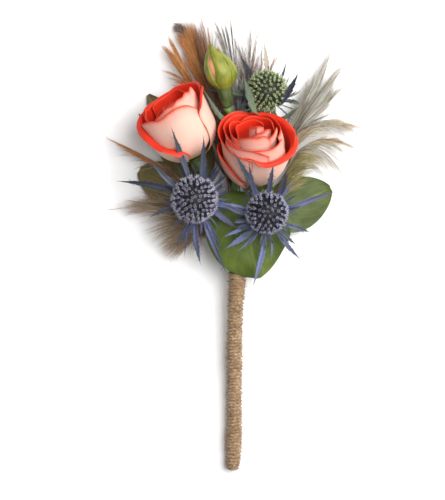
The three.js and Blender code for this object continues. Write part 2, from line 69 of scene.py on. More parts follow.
camera = bpy.data.objects.new("camera", bpy.data.cameras.new("camera"))
bpy.context.scene.collection.objects.link(camera)
camera.location = [c * MM for c in CAMERA_PLACE]
camera.data.sensor_width = SENSOR
camera.data.lens = SENSOR * (CAMERA_PLACE[2] - FLOWER_HEIGHT) / (IMAGE_HEIGHT * MM_PER_PIXEL)
bpy.context.scene.camera = camera
bpy.context.scene.view_settings.view_transform = "Standard"
print("lens in mm:", round(camera.data.lens, 1))

# %% [markdown]
# ## One function for nodes, one for colours
#
# A material is a small graph of nodes. One function adds a node with its settings and its
# inputs: a number goes onto the socket, and another node's output becomes a link. Colours
# are written as a paint chart gives them, in sRGB, and turned to the linear light that
# Blender works in.


# %% Helpers for materials
def colour(code):
    """An sRGB colour such as #B0895F, as linear light."""
    parts = [int(code[i : i + 2], 16) / 255 for i in (1, 3, 5)]
    linear = [c / 12.92 if c <= 0.04045 else ((c + 0.055) / 1.055) ** 2.4 for c in parts]
    return (*linear, 1.0)


def add(tree, kind, inputs, **settings):
    """Adds a node of a kind, with its settings, and fills or links its inputs."""
    node = tree.nodes.new(kind)
    for setting, value in settings.items():
        setattr(node, setting, value)
    for socket, value in inputs.items():
        if isinstance(value, bpy.types.NodeSocket):
            tree.links.new(value, node.inputs[socket])
        else:
            node.inputs[socket].default_value = value
    return node


def ramp(tree, value, *stops):
    """A colour ramp: stops are pairs of a place from 0 to 1 and a colour."""
    node = add(tree, "ShaderNodeValToRGB", {"Fac": value})
    elements = node.color_ramp.elements
    while len(elements) < len(stops):
        elements.new(0.5)
    for element, (place, code) in zip(elements, sorted(stops)):
        element.position = place
        element.color = colour(code)
    return node.outputs["Color"]


def new_material(name, **sockets):
    """A material with its shader's plain sockets set."""
    material = bpy.data.materials.new(name)
    material.use_nodes = True
    shader = material.node_tree.nodes["Principled BSDF"]
    for socket, value in sockets.items():
        shader.inputs[socket.replace("_", " ")].default_value = value
    return material, material.node_tree, shader


# %% [markdown]
# The object lies on a wide white table. A small lamp would draw hard shadows of every barb, so
# one large lamp stands high on the right and gives shadows with soft edges, as a studio's
# light tent does. A weaker lamp straight above and a pale room fill those shadows.

# %% Floor and lamps
# uncoated paper: matt, so the lamps leave no glare on it, with a faint unevenness
paper, tree, shader = new_material("white_table_paper", Roughness=0.9)
PAPER_GRAIN = 6.7
place = add(tree, "ShaderNodeTexCoord", {}).outputs["Object"]
grain = add(tree, "ShaderNodeTexNoise", {"Vector": place, "Scale": 1 / (PAPER_GRAIN * MM), "Detail": 2})
tone = ramp(tree, grain.outputs["Fac"], (0.3, "#FAFAFA"), (0.7, "#FFFFFF"))
tree.links.new(tone, shader.inputs["Base Color"])

HALF_TABLE = 3000
table = bmesh.new()
bmesh.ops.create_grid(table, x_segments=1, y_segments=1, size=HALF_TABLE * MM)
floor_mesh = bpy.data.meshes.new("floor")
table.to_mesh(floor_mesh)
table.free()
floor = bpy.data.objects.new("floor", floor_mesh)
floor_mesh.materials.append(paper)
bpy.context.scene.collection.objects.link(floor)
LIT_PLACE = (0, 20, 10)
ROOM_LIGHT = 0.26


def add_lamp(name, place, size, watts):
    """A square lamp of a size in mm that looks at the flowers."""
    lamp = bpy.data.objects.new(name, bpy.data.lights.new(name, "AREA"))
    lamp.data.size = size * MM
    lamp.data.energy = watts
    lamp.location = [c * MM for c in place]
    gaze = Vector(LIT_PLACE) * MM - lamp.location
    lamp.rotation_euler = gaze.to_track_quat("-Z", "Y").to_euler()
    bpy.context.scene.collection.objects.link(lamp)


add_lamp("key_lamp", (430, 180, 760), 800, 12.8)
add_lamp("overhead_lamp", (-40, 30, 1150), 620, 1.8)
world = bpy.data.worlds.new("white_room")
bpy.context.scene.world = world
world.use_nodes = True
world.node_tree.nodes["Background"].inputs["Color"].default_value = colour("#FFFFFF")
world.node_tree.nodes["Background"].inputs["Strength"].default_value = ROOM_LIGHT
print("lamps:", len(bpy.data.lights))

# %% [markdown]
# ## Shapes from bent grids
#
# Almost everything here is a sheet or a tube, so one helper does most of the work. It makes
# a flat grid and moves each corner to a place that a small function gives. Across and along
# run from 0 to 1, and they stay on the mesh as its UV map, so a material can follow the
# shape: veins along a leaf, or the red rim of a petal.


# %% Helpers for shapes
def mix(a, b, share):
    """The value at a share of the way from a to b."""
    return a + (b - a) * share


def clamp(value, low=0.0, high=1.0):
    """The value, or the nearer limit if it lies outside."""
    return min(max(value, low), high)


def smooth(low, high, value):
    """Eases from 0 below low to 1 above high."""
    share = clamp((value - low) / (high - low))
    return share * share * (3 - 2 * share)


def add_grid(mesh, across_steps, along_steps, place, chart=lambda across, along: (across, along)):
    """Adds a grid to a mesh and bends it; chart gives the UV of each corner."""
    made = bmesh.ops.create_grid(mesh, x_segments=across_steps, y_segments=along_steps, size=0.5)
    uv = mesh.loops.layers.uv.get("UVMap") or mesh.loops.layers.uv.new("UVMap")
    for face in {face for vert in made["verts"] for face in vert.link_faces}:
        for loop in face.loops:
            loop[uv].uv = chart(loop.vert.co.x + 0.5, loop.vert.co.y + 0.5)
    for vert in made["verts"]:
        vert.co = place(vert.co.x + 0.5, vert.co.y + 0.5)
    return made["verts"]


def smooth_path(*points):
    """A curve through points: a centripetal Catmull-Rom spline, as the CAD model's."""
    knots = [Vector(p) for p in points]
    knots = [2 * knots[0] - knots[1], *knots, 2 * knots[-1] - knots[-2]]
    spans = len(knots) - 3

    def at(share):
        place = clamp(share) * spans
        first = min(int(place), spans - 1)
        w = place - first
        p0, p1, p2, p3 = knots[first : first + 4]
        d0, d1, d2 = ((b - a).length ** 0.5 for a, b in ((p0, p1), (p1, p2), (p2, p3)))
        leave = ((p1 - p0) / d0 - (p2 - p0) / (d0 + d1) + (p2 - p1) / d1) * d1
        arrive = ((p2 - p1) / d1 - (p3 - p1) / (d1 + d2) + (p3 - p2) / d2) * d1
        bend = -3 * p1 + 3 * p2 - 2 * leave - arrive
        twist = 2 * p1 - 2 * p2 + leave + arrive
        return p1 + leave * w + bend * w * w + twist * w * w * w

    return at


UP = Vector((0, 0, 1))


def bezier(start, middle, end):
    """A curve that leaves start and reaches end, drawn towards middle."""
    return lambda t: start * (1 - t) ** 2 + middle * (2 * t * (1 - t)) + end * t * t


def evenly(path, count=300):
    """The same curve, with its share measured along its length."""
    marks = [path(k / count) for k in range(count + 1)]
    lengths = [0.0]
    for a, b in zip(marks, marks[1:]):
        lengths.append(lengths[-1] + (b - a).length)

    def at(share):
        goal = clamp(share) * lengths[-1]
        k = clamp(bisect.bisect_left(lengths, goal), 1, count)
        part = (goal - lengths[k - 1]) / max(lengths[k] - lengths[k - 1], 1e-9)
        return marks[k - 1].lerp(marks[k], part)

    return at, lengths[-1]


def direction(path, share, step=1e-3):
    """Which way a curve runs at a share of its length."""
    return (path(clamp(share + step)) - path(clamp(share - step))).normalized()


def add_tube(mesh, path, radius, sides, steps, chart=lambda around, along: (around, along)):
    """A tube along a path; radius(share, turn) may change along it and round it."""
    rings = []
    normal = direction(path, 0).orthogonal()
    for k in range(steps + 1):
        tangent = direction(path, k / steps)
        normal = (normal - tangent * normal.dot(tangent)).normalized()
        rings.append((path(k / steps), normal, tangent.cross(normal)))

    def place(around, along):
        centre, side, up = rings[round(along * steps)]
        turn = around * 2 * math.pi
        size = radius(along, turn)
        return centre + side * (size * math.cos(turn)) + up * (size * math.sin(turn))

    add_grid(mesh, sides, steps, place, chart)


SEAM = 1e-4  # corners nearer than this are one


def close(mesh):
    """Joins seams, fills open ends and turns the faces outwards."""
    bmesh.ops.remove_doubles(mesh, verts=mesh.verts, dist=SEAM)
    bmesh.ops.holes_fill(mesh, edges=[e for e in mesh.edges if e.is_boundary], sides=0)
    bmesh.ops.recalc_face_normals(mesh, faces=mesh.faces)


def merge(mesh, part):
    """Adds a part to a mesh. Small parts are made apart, which keeps every step fast."""
    data = bpy.data.meshes.new("part")
    part.to_mesh(data)
    part.free()
    mesh.from_mesh(data)
    bpy.data.meshes.remove(data)


made_pieces = []


def finish_piece(mesh, name, slot, nodes, *materials):
    """Turns a mesh in millimetres into a piece that stands for its CAD nodes."""
    bmesh.ops.scale(mesh, vec=(MM, MM, MM), verts=mesh.verts)
    data = bpy.data.meshes.new(name)
    mesh.to_mesh(data)
    mesh.free()
    data.shade_smooth()
    piece = bpy.data.objects.new(name, data)
    bpy.context.scene.collection.objects.link(piece)
    for material in materials:
        data.materials.append(material)
    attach(piece, "root")
    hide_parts(*nodes)
    made_pieces.append(piece)
    return piece


def thicken(piece, thickness, levels=1, inside=0):
    """Gives a sheet its thickness, half to each side, then rounds it; inside is the inner face's material."""
    solid = piece.modifiers.new("thickness", "SOLIDIFY")
    solid.thickness = thickness * MM
    solid.offset = 0
    solid.material_offset = inside
    if levels:
        rounding = piece.modifiers.new("rounding", "SUBSURF")
        rounding.levels = rounding.render_levels = levels


def report(title, first):
    """Prints how many pieces and faces were made since the piece numbered first."""
    new = made_pieces[first:]
    print(f"{title}: {len(new)} pieces, {sum(len(p.data.polygons) for p in new)} faces")


# %% [markdown]
# ## The core line
#
# Every wire follows one line up the handle and through the neck to the binding point. The
# numbers repeat the CAD model's, because the pieces made here stand where its nodes are.

# %% Core line
CORE = smooth_path(
    (-1.5, -92.7, 3.1),
    (-1.0, -80, 3.4),
    (-0.7, -49, 5.6),
    (-0.5, -31, 7),
    (0.5, -12, 8.5),
    (0.9, -2, 9.2),
)
CORE_STATIONS = [-70, -49, -31]  # places along Y that every wire passes
CORE_STEPS = 400
CORE_MARKS = [CORE(k / CORE_STEPS) for k in range(CORE_STEPS + 1)]


def core_share(y):
    """The core runs nearly along Y, so its share is found from Y."""
    mark = bisect.bisect_left(CORE_MARKS, y, key=lambda mark: mark.y)
    return clamp(mark, 1, CORE_STEPS - 1) / CORE_STEPS


def core_at(y):
    """A point on the core at a place along Y, found between two marks."""
    k = clamp(bisect.bisect_left(CORE_MARKS, y, key=lambda mark: mark.y), 1, CORE_STEPS)
    a, b = CORE_MARKS[k - 1], CORE_MARKS[k]
    return a.lerp(b, (y - a.y) / (b.y - a.y))


def round_core(y, radius, turn):
    """A point beside the core, at a distance and a turn from it."""
    tangent = direction(CORE, core_share(y))
    side = tangent.cross(UP).normalized()
    up = side.cross(tangent)
    return core_at(y) + side * (radius * math.cos(turn)) + up * (radius * math.sin(turn))


def between(pairs, value):
    """Reads a value from pairs of (place, value), straight between them."""
    for (a, low), (b, high) in zip(pairs, pairs[1:]):
        if value <= b:
            return mix(low, high, clamp((value - a) / (b - a)))
    return pairs[-1][1]


print("core from", tuple(round(c, 1) for c in CORE(0)), "to", tuple(round(c, 1) for c in CORE(1)))

# %% [markdown]
# ## Jute twine
#
# Jute is spun from coarse tan bast fibres, two plies twisted together. It could be painted
# onto a cylinder as stripes, but its outline would stay smooth. Here one long strand is
# really wound: it starts in the middle of the handle's end, spirals out and climbs with a
# fixed pitch, and each turn slips a little from its place. Its section has two lobes, for the
# plies, that turn along the strand. Fine loose fibres stand off it, as on real twine.

# %% Twine material
jute, tree, shader = new_material("jute_bast_fibre", Roughness=0.92, Sheen_Weight=0.25)
# dry matt fibre, speckled: pale outer fibres, tan ones, and brown ones that bark has stained
FIBRE_WIDTH = 0.12  # drawn coarse enough to show
SPECK_SIZE = 0.9
BLOTCH_SIZE = 4
place = add(tree, "ShaderNodeTexCoord", {}).outputs["Object"]
blotch = add(tree, "ShaderNodeTexNoise", {"Vector": place, "Scale": 1 / (BLOTCH_SIZE * MM), "Detail": 3})
fibre = add(tree, "ShaderNodeTexNoise", {"Vector": place, "Scale": 0.5 / (FIBRE_WIDTH * MM), "Detail": 4})
speck = add(tree, "ShaderNodeTexNoise", {"Vector": place, "Scale": 1 / (SPECK_SIZE * MM), "Detail": 2})
grain = add(tree, "ShaderNodeMath", {0: speck.outputs["Fac"], 1: fibre.outputs["Fac"]}, operation="ADD")
mottle = {0: blotch.outputs["Fac"], 1: 0.5, 2: grain.outputs[0]}
total = add(tree, "ShaderNodeMath", mottle, operation="MULTIPLY_ADD")
mean = add(tree, "ShaderNodeMath", {0: total.outputs[0], 1: 0.4}, operation="MULTIPLY")
jute_tones = ((0.36, "#4E3A28"), (0.44, "#86694A"), (0.53, "#AC8C68"), (0.66, "#D6BE9C"))
tone = ramp(tree, mean.outputs[0], *jute_tones)
tree.links.new(tone, shader.inputs["Base Color"])
bump = add(tree, "ShaderNodeBump", {"Height": fibre.outputs["Fac"], "Strength": 0.8, "Distance": 0.2 * MM})
tree.links.new(bump.outputs[0], shader.inputs["Normal"])

# %% Wind the strand
STRAND_RADIUS = 0.7
WIND_PITCH = 1.3
PLY_TWIST = 3.1  # length of strand for one turn of its plies
SLIP = 0.34  # how far a turn may lie from its even place
LUMP = 0.3
MEAN_WINDING = 2.5  # radius of the middle of the strand round the core
WRAP = [  # place along Y, outer radius of the wrapping
    (-92.4, 1.7), (-91.4, 2.5), (-89.5, 2.9), (-80, 3.35), (-72, 3), (-56, 2.9), (-49, 3.15), (-31, 3),
    (-20, 3.35), (-11.9, 3.65),
]
LOWEST_TURN = -92.7 + STRAND_RADIUS
HIGHEST_TURN = -12.5
twine_profile = [Vector((LOWEST_TURN, 0.35, 0))]  # the strand starts near the core
for y, radius in WRAP:
    twine_profile.append(Vector((max(y, LOWEST_TURN), radius - STRAND_RADIUS, 0)))


def profile_at(share):
    """Straight pieces from one measured radius of the wrapping to the next."""
    place = share * (len(twine_profile) - 1)
    first = min(int(place), len(twine_profile) - 2)
    return twine_profile[first].lerp(twine_profile[first + 1], place - first)


profile_path, profile_length = evenly(profile_at, 900)
turns = profile_length / WIND_PITCH
shake = random.Random(4)
wander = [shake.uniform(-SLIP, SLIP) for _ in range(int(turns) + 2)]


def strand_path(share):
    """The middle of the strand: round the core, climbing by the pitch in each turn."""
    at = profile_path(share)
    turn = share * turns
    loose = mix(wander[int(turn)], wander[int(turn) + 1], turn % 1)
    lumps = LUMP * noise.noise(Vector((turn * 2.3, 0, 0)))
    y = clamp(at.x + loose, LOWEST_TURN, HIGHEST_TURN)
    return round_core(y, at.y + 0.4 * abs(loose) + lumps, -turn * 2 * math.pi)


strand_length = turns * 2 * math.pi * MEAN_WINDING


def strand_radius(share, turn):
    """Two plies make a section with two lobes, and the lobes turn along the strand."""
    lobes = math.cos(2 * turn - 4 * math.pi * share * strand_length / PLY_TWIST)
    slub = noise.noise(Vector((share * strand_length * 0.6, 0, 7)))
    return STRAND_RADIUS * (0.92 + 0.2 * lobes + 0.22 * slub)


STRAND_SIDES = 9
RINGS_PER_TURN = 30
twine = bmesh.new()
add_tube(twine, strand_path, strand_radius, STRAND_SIDES, int(turns * RINGS_PER_TURN))


def filler(around, along):
    """A closed sleeve under the strand, so that no gap between turns shows light."""
    y = mix(LOWEST_TURN + 0.2, HIGHEST_TURN + 0.2, along)
    radius = max(0.0, between(WRAP, y) - 0.95 * STRAND_RADIUS) * (0 if along in (0, 1) else 1)
    return round_core(y, radius, around * 2 * math.pi)


add_grid(twine, 12, 60, filler)
print("turns of twine:", round(turns), "strand length in mm:", round(strand_length))

# %% Loose fibres
FUZZ_COUNT = 4200
FUZZ_LENGTH = (0.6, 1.7)
FUZZ_RADIUS = 0.055
FLOOR_GAP = 0.05  # the handle's own weight presses its lowest fibres flat
ALONG_HANDLE = Vector((0, 1, 0))


def add_hair(mesh, root, lean, out, length, width, rng):
    """A loose fibre: thin, closed at both ends, bending as it goes."""
    sway = Vector([rng.uniform(-1, 1) for _ in range(3)])
    tip = root + (lean + out * rng.uniform(0.2, 1.0) + sway * 0.5).normalized() * length
    middle = root + (lean + out * 0.3).normalized() * (length * 0.5)
    part = bmesh.new()
    path = bezier(root, middle, tip)
    add_tube(part, path, lambda share, turn: width * math.sin(math.pi * share) ** 0.5, 3, 3)
    merge(mesh, part)


for _ in range(FUZZ_COUNT):
    share = shake.random()
    root = strand_path(share)
    out = (root - core_at(root.y)).normalized()
    lean = direction(strand_path, share, 1e-4) * shake.choice((-1, 1))
    lean += ALONG_HANDLE * shake.uniform(-0.8, 0.8)
    add_hair(twine, root + out * 0.5, lean, out, shake.uniform(*FUZZ_LENGTH), FUZZ_RADIUS, shake)
for vert in twine.verts:
    vert.co.z = max(vert.co.z, FLOOR_GAP)
close(twine)
first = len(made_pieces)
finish_piece(twine, "jute_twine_winding", "jute_twine", ["twine_wrap"], jute)
report("twine", first)

# %% [markdown]
# ## Floral tape and stems
#
# Floral tape is waxed crepe paper, pulled tight as it is wound, so it shows a fine ridge at
# each overlap. Only its mouth shows, above the twine. The stems are smooth tubes: thin as a
# wire inside the handle, and as thick as the real stem under the flower. Each flower has its
# own frame, made of a centre and the way it faces, so a shape is written once, by its distance
# from the flower's axis, its turn round it and its height, and then stands at any tilt.

# %% Green materials
# crepe paper soaked in wax: fine crinkles with a weak, broken shine
CRINKLE_SIZE = 0.7
tape_paper, tree, shader = new_material("waxed_crepe_tape", Roughness=0.5, Coat_Weight=0.15)
place = add(tree, "ShaderNodeTexCoord", {}).outputs["Object"]
crinkle = add(tree, "ShaderNodeTexNoise", {"Vector": place, "Scale": 1 / (CRINKLE_SIZE * MM), "Detail": 5})
tone = ramp(tree, crinkle.outputs["Fac"], (0.35, "#3E4A22"), (0.65, "#6C7A3E"))
tree.links.new(tone, shader.inputs["Base Color"])
bump = add(tree, "ShaderNodeBump", {"Height": crinkle.outputs["Fac"], "Strength": 0.6, "Distance": 0.15 * MM})
tree.links.new(bump.outputs[0], shader.inputs["Normal"])


def plant_skin(name, dark, light, streak_mm, roughness=0.5):
    """A waxy green skin: long streaks over soft blotches, with a slight shine."""
    material, tree, shader = new_material(
        name, Roughness=roughness, Subsurface_Weight=0.12, Subsurface_Scale=1.0 * MM
    )
    shader.inputs["Subsurface Radius"].default_value = (0.6, 1.0, 0.3)
    uv = add(tree, "ShaderNodeUVMap", {}, uv_map="UVMap").outputs["UV"]
    long = add(tree, "ShaderNodeMapping", {"Vector": uv, "Scale": (14 / streak_mm, 2, 1)})
    place = add(tree, "ShaderNodeTexCoord", {}).outputs["Object"]
    streak = add(tree, "ShaderNodeTexNoise", {"Vector": long.outputs[0], "Scale": 1.5, "Detail": 3})
    blotch = add(tree, "ShaderNodeTexNoise", {"Vector": place, "Scale": 1 / (5 * MM), "Detail": 2})
    total = add(tree, "ShaderNodeMath", {0: streak.outputs["Fac"], 1: blotch.outputs["Fac"]})
    mean = add(tree, "ShaderNodeMath", {0: total.outputs[0], 1: 0.5}, operation="MULTIPLY")
    tone = ramp(tree, mean.outputs[0], (0.36, dark), (0.62, light))
    tree.links.new(tone, shader.inputs["Base Color"])
    fine = {"Height": streak.outputs["Fac"], "Strength": 0.35, "Distance": 0.15 * MM}
    tree.links.new(add(tree, "ShaderNodeBump", fine).outputs[0], shader.inputs["Normal"])
    return material


stem_green = plant_skin("green_stem_skin", "#3F5A26", "#7C9A4C", 1.0)
hip_green = plant_skin("rose_hip_skin", "#33441E", "#606D36", 1.2)
bud_green = plant_skin("rosebud_sepal_skin", "#56701A", "#A09A38", 0.8)

# %% Tape
TAPE = {"inner": 1.9, "wall": 0.22, "bottom": -89, "neck": -11, "mouth": 5, "top": -3}
TAPE_OVERLAP = 5.0  # along the core, from one overlap to the next
tape_outline = [
    (TAPE["bottom"], TAPE["inner"] + TAPE["wall"] / 2),
    (TAPE["neck"], TAPE["inner"] + TAPE["wall"] / 2),
    (TAPE["top"], TAPE["mouth"] + TAPE["wall"] / 2),
]


def tape_place(around, along):
    """A tube round the core that opens into a mouth, with a step at each overlap."""
    y = mix(TAPE["bottom"], TAPE["top"], along**0.35)
    ridge = ((y / TAPE_OVERLAP + around) % 1.0) * TAPE["wall"] if y > TAPE["neck"] else 0.0
    return round_core(y, between(tape_outline, y) + ridge * 0.6, around * 2 * math.pi)


tape = bmesh.new()
add_grid(tape, 32, 40, tape_place)
bmesh.ops.remove_doubles(tape, verts=tape.verts, dist=SEAM)
bmesh.ops.recalc_face_normals(tape, faces=tape.faces)
first = len(made_pieces)
piece = finish_piece(tape, "wound_floral_tape", "floral_tape", ["floral_tape"], tape_paper)
thicken(piece, TAPE["wall"], levels=0)
report("tape", first)

# %% Where the flowers are
GAP = 0.3  # clearance between touching pieces
HIP_LENGTH = 6.4
# A rose has its widest radius and the depth of its bowl below that, how high its petals rise
# above it, and the distance from one petal to the next. A sepal is listed with its turn in
# degrees, how far up the bowl it reaches, and how far its tip stands off.
OPEN_ROSE = {
    "name": "open_rose",
    "centre": (7.9, 38.2, 27.2),
    "axis": (-0.03, 0.7, 0.714),
    "radius": 15.3,
    "depth": 19.5,
    "rise": 5.5,
    "pitch": 0.86,
    "sepals": [(36, 0.45, 1.5), (108, 0.75, 2), (180, 0.8, 1), (252, 0.75, 2), (324, 0.4, 1.5)],
}
HALF_OPEN_ROSE = {
    "name": "half_open_rose",
    "centre": (-21.8, 45.1, 21.2),
    "axis": (-0.42, 0.84, 0.34),
    "radius": 13.8,
    "depth": 13.2,
    "rise": 14.8,
    "pitch": 0.92,
    "sepals": [(28, 0.4, 1.2), (104, 0.8, 1.5), (180, 1.1, 1.5), (238, 1.78, 1.0), (318, 0.3, 1.2)],
}
BUD = {
    "base": (-4.6, 60.6, 17.6),
    "axis": (-0.17, 0.95, 0.22),
    "radius": 5.824,
    "foot": 1.8,  # heights above the base: where the egg starts, is widest and ends
    "widest": 8.4,
    "length": 19,
}
THISTLES = {  # the tips are those of the long bracts
    "left": {
        "base": (-15.9, 16.6, 21),
        "axis": (-0.15, 0.1, 0.98),
        "radius": 9.6,
        "height": 15,
        "tips": [
            (-25.9, 45.6, 41), (-13, 41.9, 38), (-34.4, 32.8, 26), (-48.2, 24.7, 17), (-35, 10, 19),
            (-24.5, -1.5, 17), (-14.4, -9, 15), (-4, -12.5, 17), (0.2, 5.5, 21), (-6.2, 29.5, 31),
        ],
    },
    "right": {
        "base": (12.3, 10, 23),
        "axis": (0.05, 0.02, 0.998),
        "radius": 8.7,
        "height": 14,
        "tips": [
            (-2.1, 36.3, 45), (4.6, 31.6, 48), (14.3, 30.9, 47.5), (19.6, 28.5, 41), (40.3, 20.8, 18),
            (29.5, 4.2, 19), (26.2, -7.3, 17), (6.5, -17.9, 18), (-4.6, -2.5, 19), (-5.6, 15.2, 29),
        ],
    },
    "back": {
        "base": (12.6, 57.8, 12.6),
        "axis": (-0.05, 0.6, 0.8),
        "radius": 9.2,
        "height": 14,
        "tips": [
            (2.7, 68, 24), (1.2, 75.4, 16), (11, 82, 13), (24.6, 67.8, 19), (25.7, 55.5, 15),
            (-13.9, 62.2, 10),
        ],
    },
}


def flower_frame(centre, axis):
    """Places a point of a flower by its distance from the axis, its turn and its height."""
    along = Vector(axis).normalized()
    front = (Vector((0, 0, 1)) - along * along.z).normalized()
    right = along.cross(front)
    origin = Vector(centre)

    def place(radius, turn, height):
        return origin + front * (radius * math.cos(turn)) + right * (radius * math.sin(turn)) + along * height

    return place


def rose_frame(rose):
    """The frame of a rose, whose height 0 is where its bowl is widest."""
    return flower_frame(rose["centre"], rose["axis"])


print("flowers:", 2 + 1 + len(THISTLES))

# %% Stems
WIRE = {"radius": 0.4, "ring": 1.1, "first_turn": 54, "apart": 72, "bottom": -88.5, "top": -16, "free": -8}
RUFF_HALF_THICKNESS = 0.6


def hip_end(rose):
    """Where a rose's stem ends, under its hip."""
    return rose_frame(rose)(0, 0, -rose["depth"] - HIP_LENGTH - GAP)


def thistle_end(side):
    """Where a sea holly's stem ends, under its ruff."""
    return flower_frame(THISTLES[side]["base"], THISTLES[side]["axis"])(0, 0, -RUFF_HALF_THICKNESS - GAP)


STEMS = [  # name, wire's place in the ring, radius, points between neck and flower, end
    ("open_rose", None, 1.6, [(3, 6, 9), (7.5, 16, 9.4)], hip_end(OPEN_ROSE)),
    ("half_open_rose", 2, 1.6, [(-4.5, 8, 8), (-14, 22, 11)], hip_end(HALF_OPEN_ROSE)),
    (
        "rosebud",
        3,
        1.5,
        [(-1.5, 12, 6.5), (0.5, 34, 7), (-1, 46, 11)],
        flower_frame(BUD["base"], BUD["axis"])(0, 0, -HIP_LENGTH - GAP),
    ),
    ("left_thistle", 1, 1.1, [(-1.6, -2, 11.2), (-8, 6, 12.6), (-14, 13, 15.6)], thistle_end("left")),
    ("right_thistle", 0, 1.1, [(2.5, -2, 11), (7, 2.5, 12.6), (11.4, 7.5, 17)], thistle_end("right")),
    ("back_thistle", 4, 1.1, [(5.5, 8, 4.5), (12, 34, 5.2)], thistle_end("back")),
]


def make_stem(name, wire, radius, via, end):
    """Five wires stand in a ring round the one in the middle, which has no place in the ring."""
    turn = math.radians(WIRE["first_turn"] + WIRE["apart"] * (wire or 0))
    ring = 0 if wire is None else WIRE["ring"]
    offset = Vector((ring * math.cos(turn), 0, ring * math.sin(turn)))
    handle = [core_at(y) + offset for y in (WIRE["bottom"], *CORE_STATIONS, WIRE["top"], WIRE["free"])]
    path, length = evenly(smooth_path(*handle, *via, end))
    free = 1 - (handle[-1] - handle[0]).length / length

    def size(share, turn):
        thick = mix(WIRE["radius"], radius, smooth(1 - free, 1 - free * 0.35, share))
        return thick * (1 + 0.05 * math.cos(3 * turn + 9 * share))

    mesh = bmesh.new()
    add_tube(mesh, path, size, 12, 60)
    close(mesh)
    finish_piece(mesh, f"{name}_taped_stem", "green_stem", [f"{name}_stem"], stem_green)


first = len(made_pieces)
for stem in STEMS:
    make_stem(*stem)
report("stems", first)

# %% [markdown]
# ## Rose petals
#
# A petal is a curved sheet, a third of a millimetre thick. These roses have two-coloured
# petals: the inner face is vivid red-orange and fades to peach near its foot, and the back
# is pale peach with a coral margin. So each petal has two materials, and the Solidify
# modifier gives the second one to its inner face.
#
# The margin needs to be known to the material. It could be read from the UV map, but a
# petal's sides and top are at different distances. So a second UV map holds the real
# distance to the nearest edge.
#
# A spiral of equal petals could be made by a loop, but these two flowers are seen from the
# side and each petal shows its own outline. So each petal's rim is listed as a few points
# round the flower, and the sheet is drawn from the flower's foot round the bowl to that line.
# The outer petals curl: near the rim the sheet is wound outwards round a small circle, most
# in the middle of the rim and less towards its ends.


# %% Petal materials
def petal_material(name, rim_colours, foot_colour, foot_reach, vein_depth):
    """Petal skin: colours by centimetres from the edge, another colour at the foot, and fine veins."""
    material, tree, shader = new_material(
        name, Roughness=0.6, Specular_IOR_Level=0.3, Subsurface_Weight=0.15, Subsurface_Scale=0.8 * MM
    )
    shader.inputs["Subsurface Radius"].default_value = (1.0, 0.35, 0.2)
    uv = add(tree, "ShaderNodeUVMap", {}, uv_map="UVMap").outputs["UV"]
    edge = add(tree, "ShaderNodeUVMap", {}, uv_map="Edge").outputs["UV"]
    place = add(tree, "ShaderNodeTexCoord", {}).outputs["Object"]
    cloud = add(tree, "ShaderNodeTexNoise", {"Vector": place, "Scale": 1 / (3 * MM), "Detail": 3})
    long = add(tree, "ShaderNodeMapping", {"Vector": uv, "Scale": (60, 3, 1)})
    vein = add(tree, "ShaderNodeTexNoise", {"Vector": long.outputs[0], "Scale": 1.0, "Detail": 3})
    distance = add(tree, "ShaderNodeSeparateXYZ", {0: edge}).outputs[0]
    by_vein = {0: vein.outputs["Fac"], 1: 0.12, 2: distance}
    ragged = add(tree, "ShaderNodeMath", by_vein, operation="MULTIPLY_ADD")
    by_cloud = {0: cloud.outputs["Fac"], 1: 0.08, 2: ragged.outputs[0]}
    uneven = add(tree, "ShaderNodeMath", by_cloud, operation="MULTIPLY_ADD")
    shifted = add(tree, "ShaderNodeMath", {0: uneven.outputs[0], 1: 0.1}, operation="SUBTRACT")
    blade = ramp(tree, shifted.outputs[0], *rim_colours)
    height = add(tree, "ShaderNodeSeparateXYZ", {0: uv}).outputs[1]
    fall = {"Value": height, "From Min": 0.0, "From Max": foot_reach, "To Min": 1.0, "To Max": 0.0}
    foot = add(tree, "ShaderNodeMapRange", fall, interpolation_type="SMOOTHSTEP")
    both = {0: foot.outputs[0], 6: blade, 7: colour(foot_colour)}
    mixed = add(tree, "ShaderNodeMix", both, data_type="RGBA")
    tree.links.new(mixed.outputs[2], shader.inputs["Base Color"])
    bump = {"Height": vein.outputs["Fac"], "Strength": vein_depth, "Distance": 0.25 * MM}
    tree.links.new(add(tree, "ShaderNodeBump", bump).outputs[0], shader.inputs["Normal"])
    return material


coral_margin = [(0.0, "#D43A22"), (0.04, "#DC5A42"), (0.09, "#E28A74"), (0.2, "#E8A898"), (0.6, "#E9BCAA")]
petal_back = petal_material("rose_petal_back", coral_margin, "#D9B583", 0.3, 0.25)
# The face is lighter at its very edge: a painted highlight along the rims, where they catch the light.
vivid_red = [(0.0, "#E8442A"), (0.12, "#DE3018"), (0.6, "#D83220"), (1.0, "#D8583C")]
petal_face = petal_material("rose_petal_face", vivid_red, "#E09A62", 0.45, 0.35)

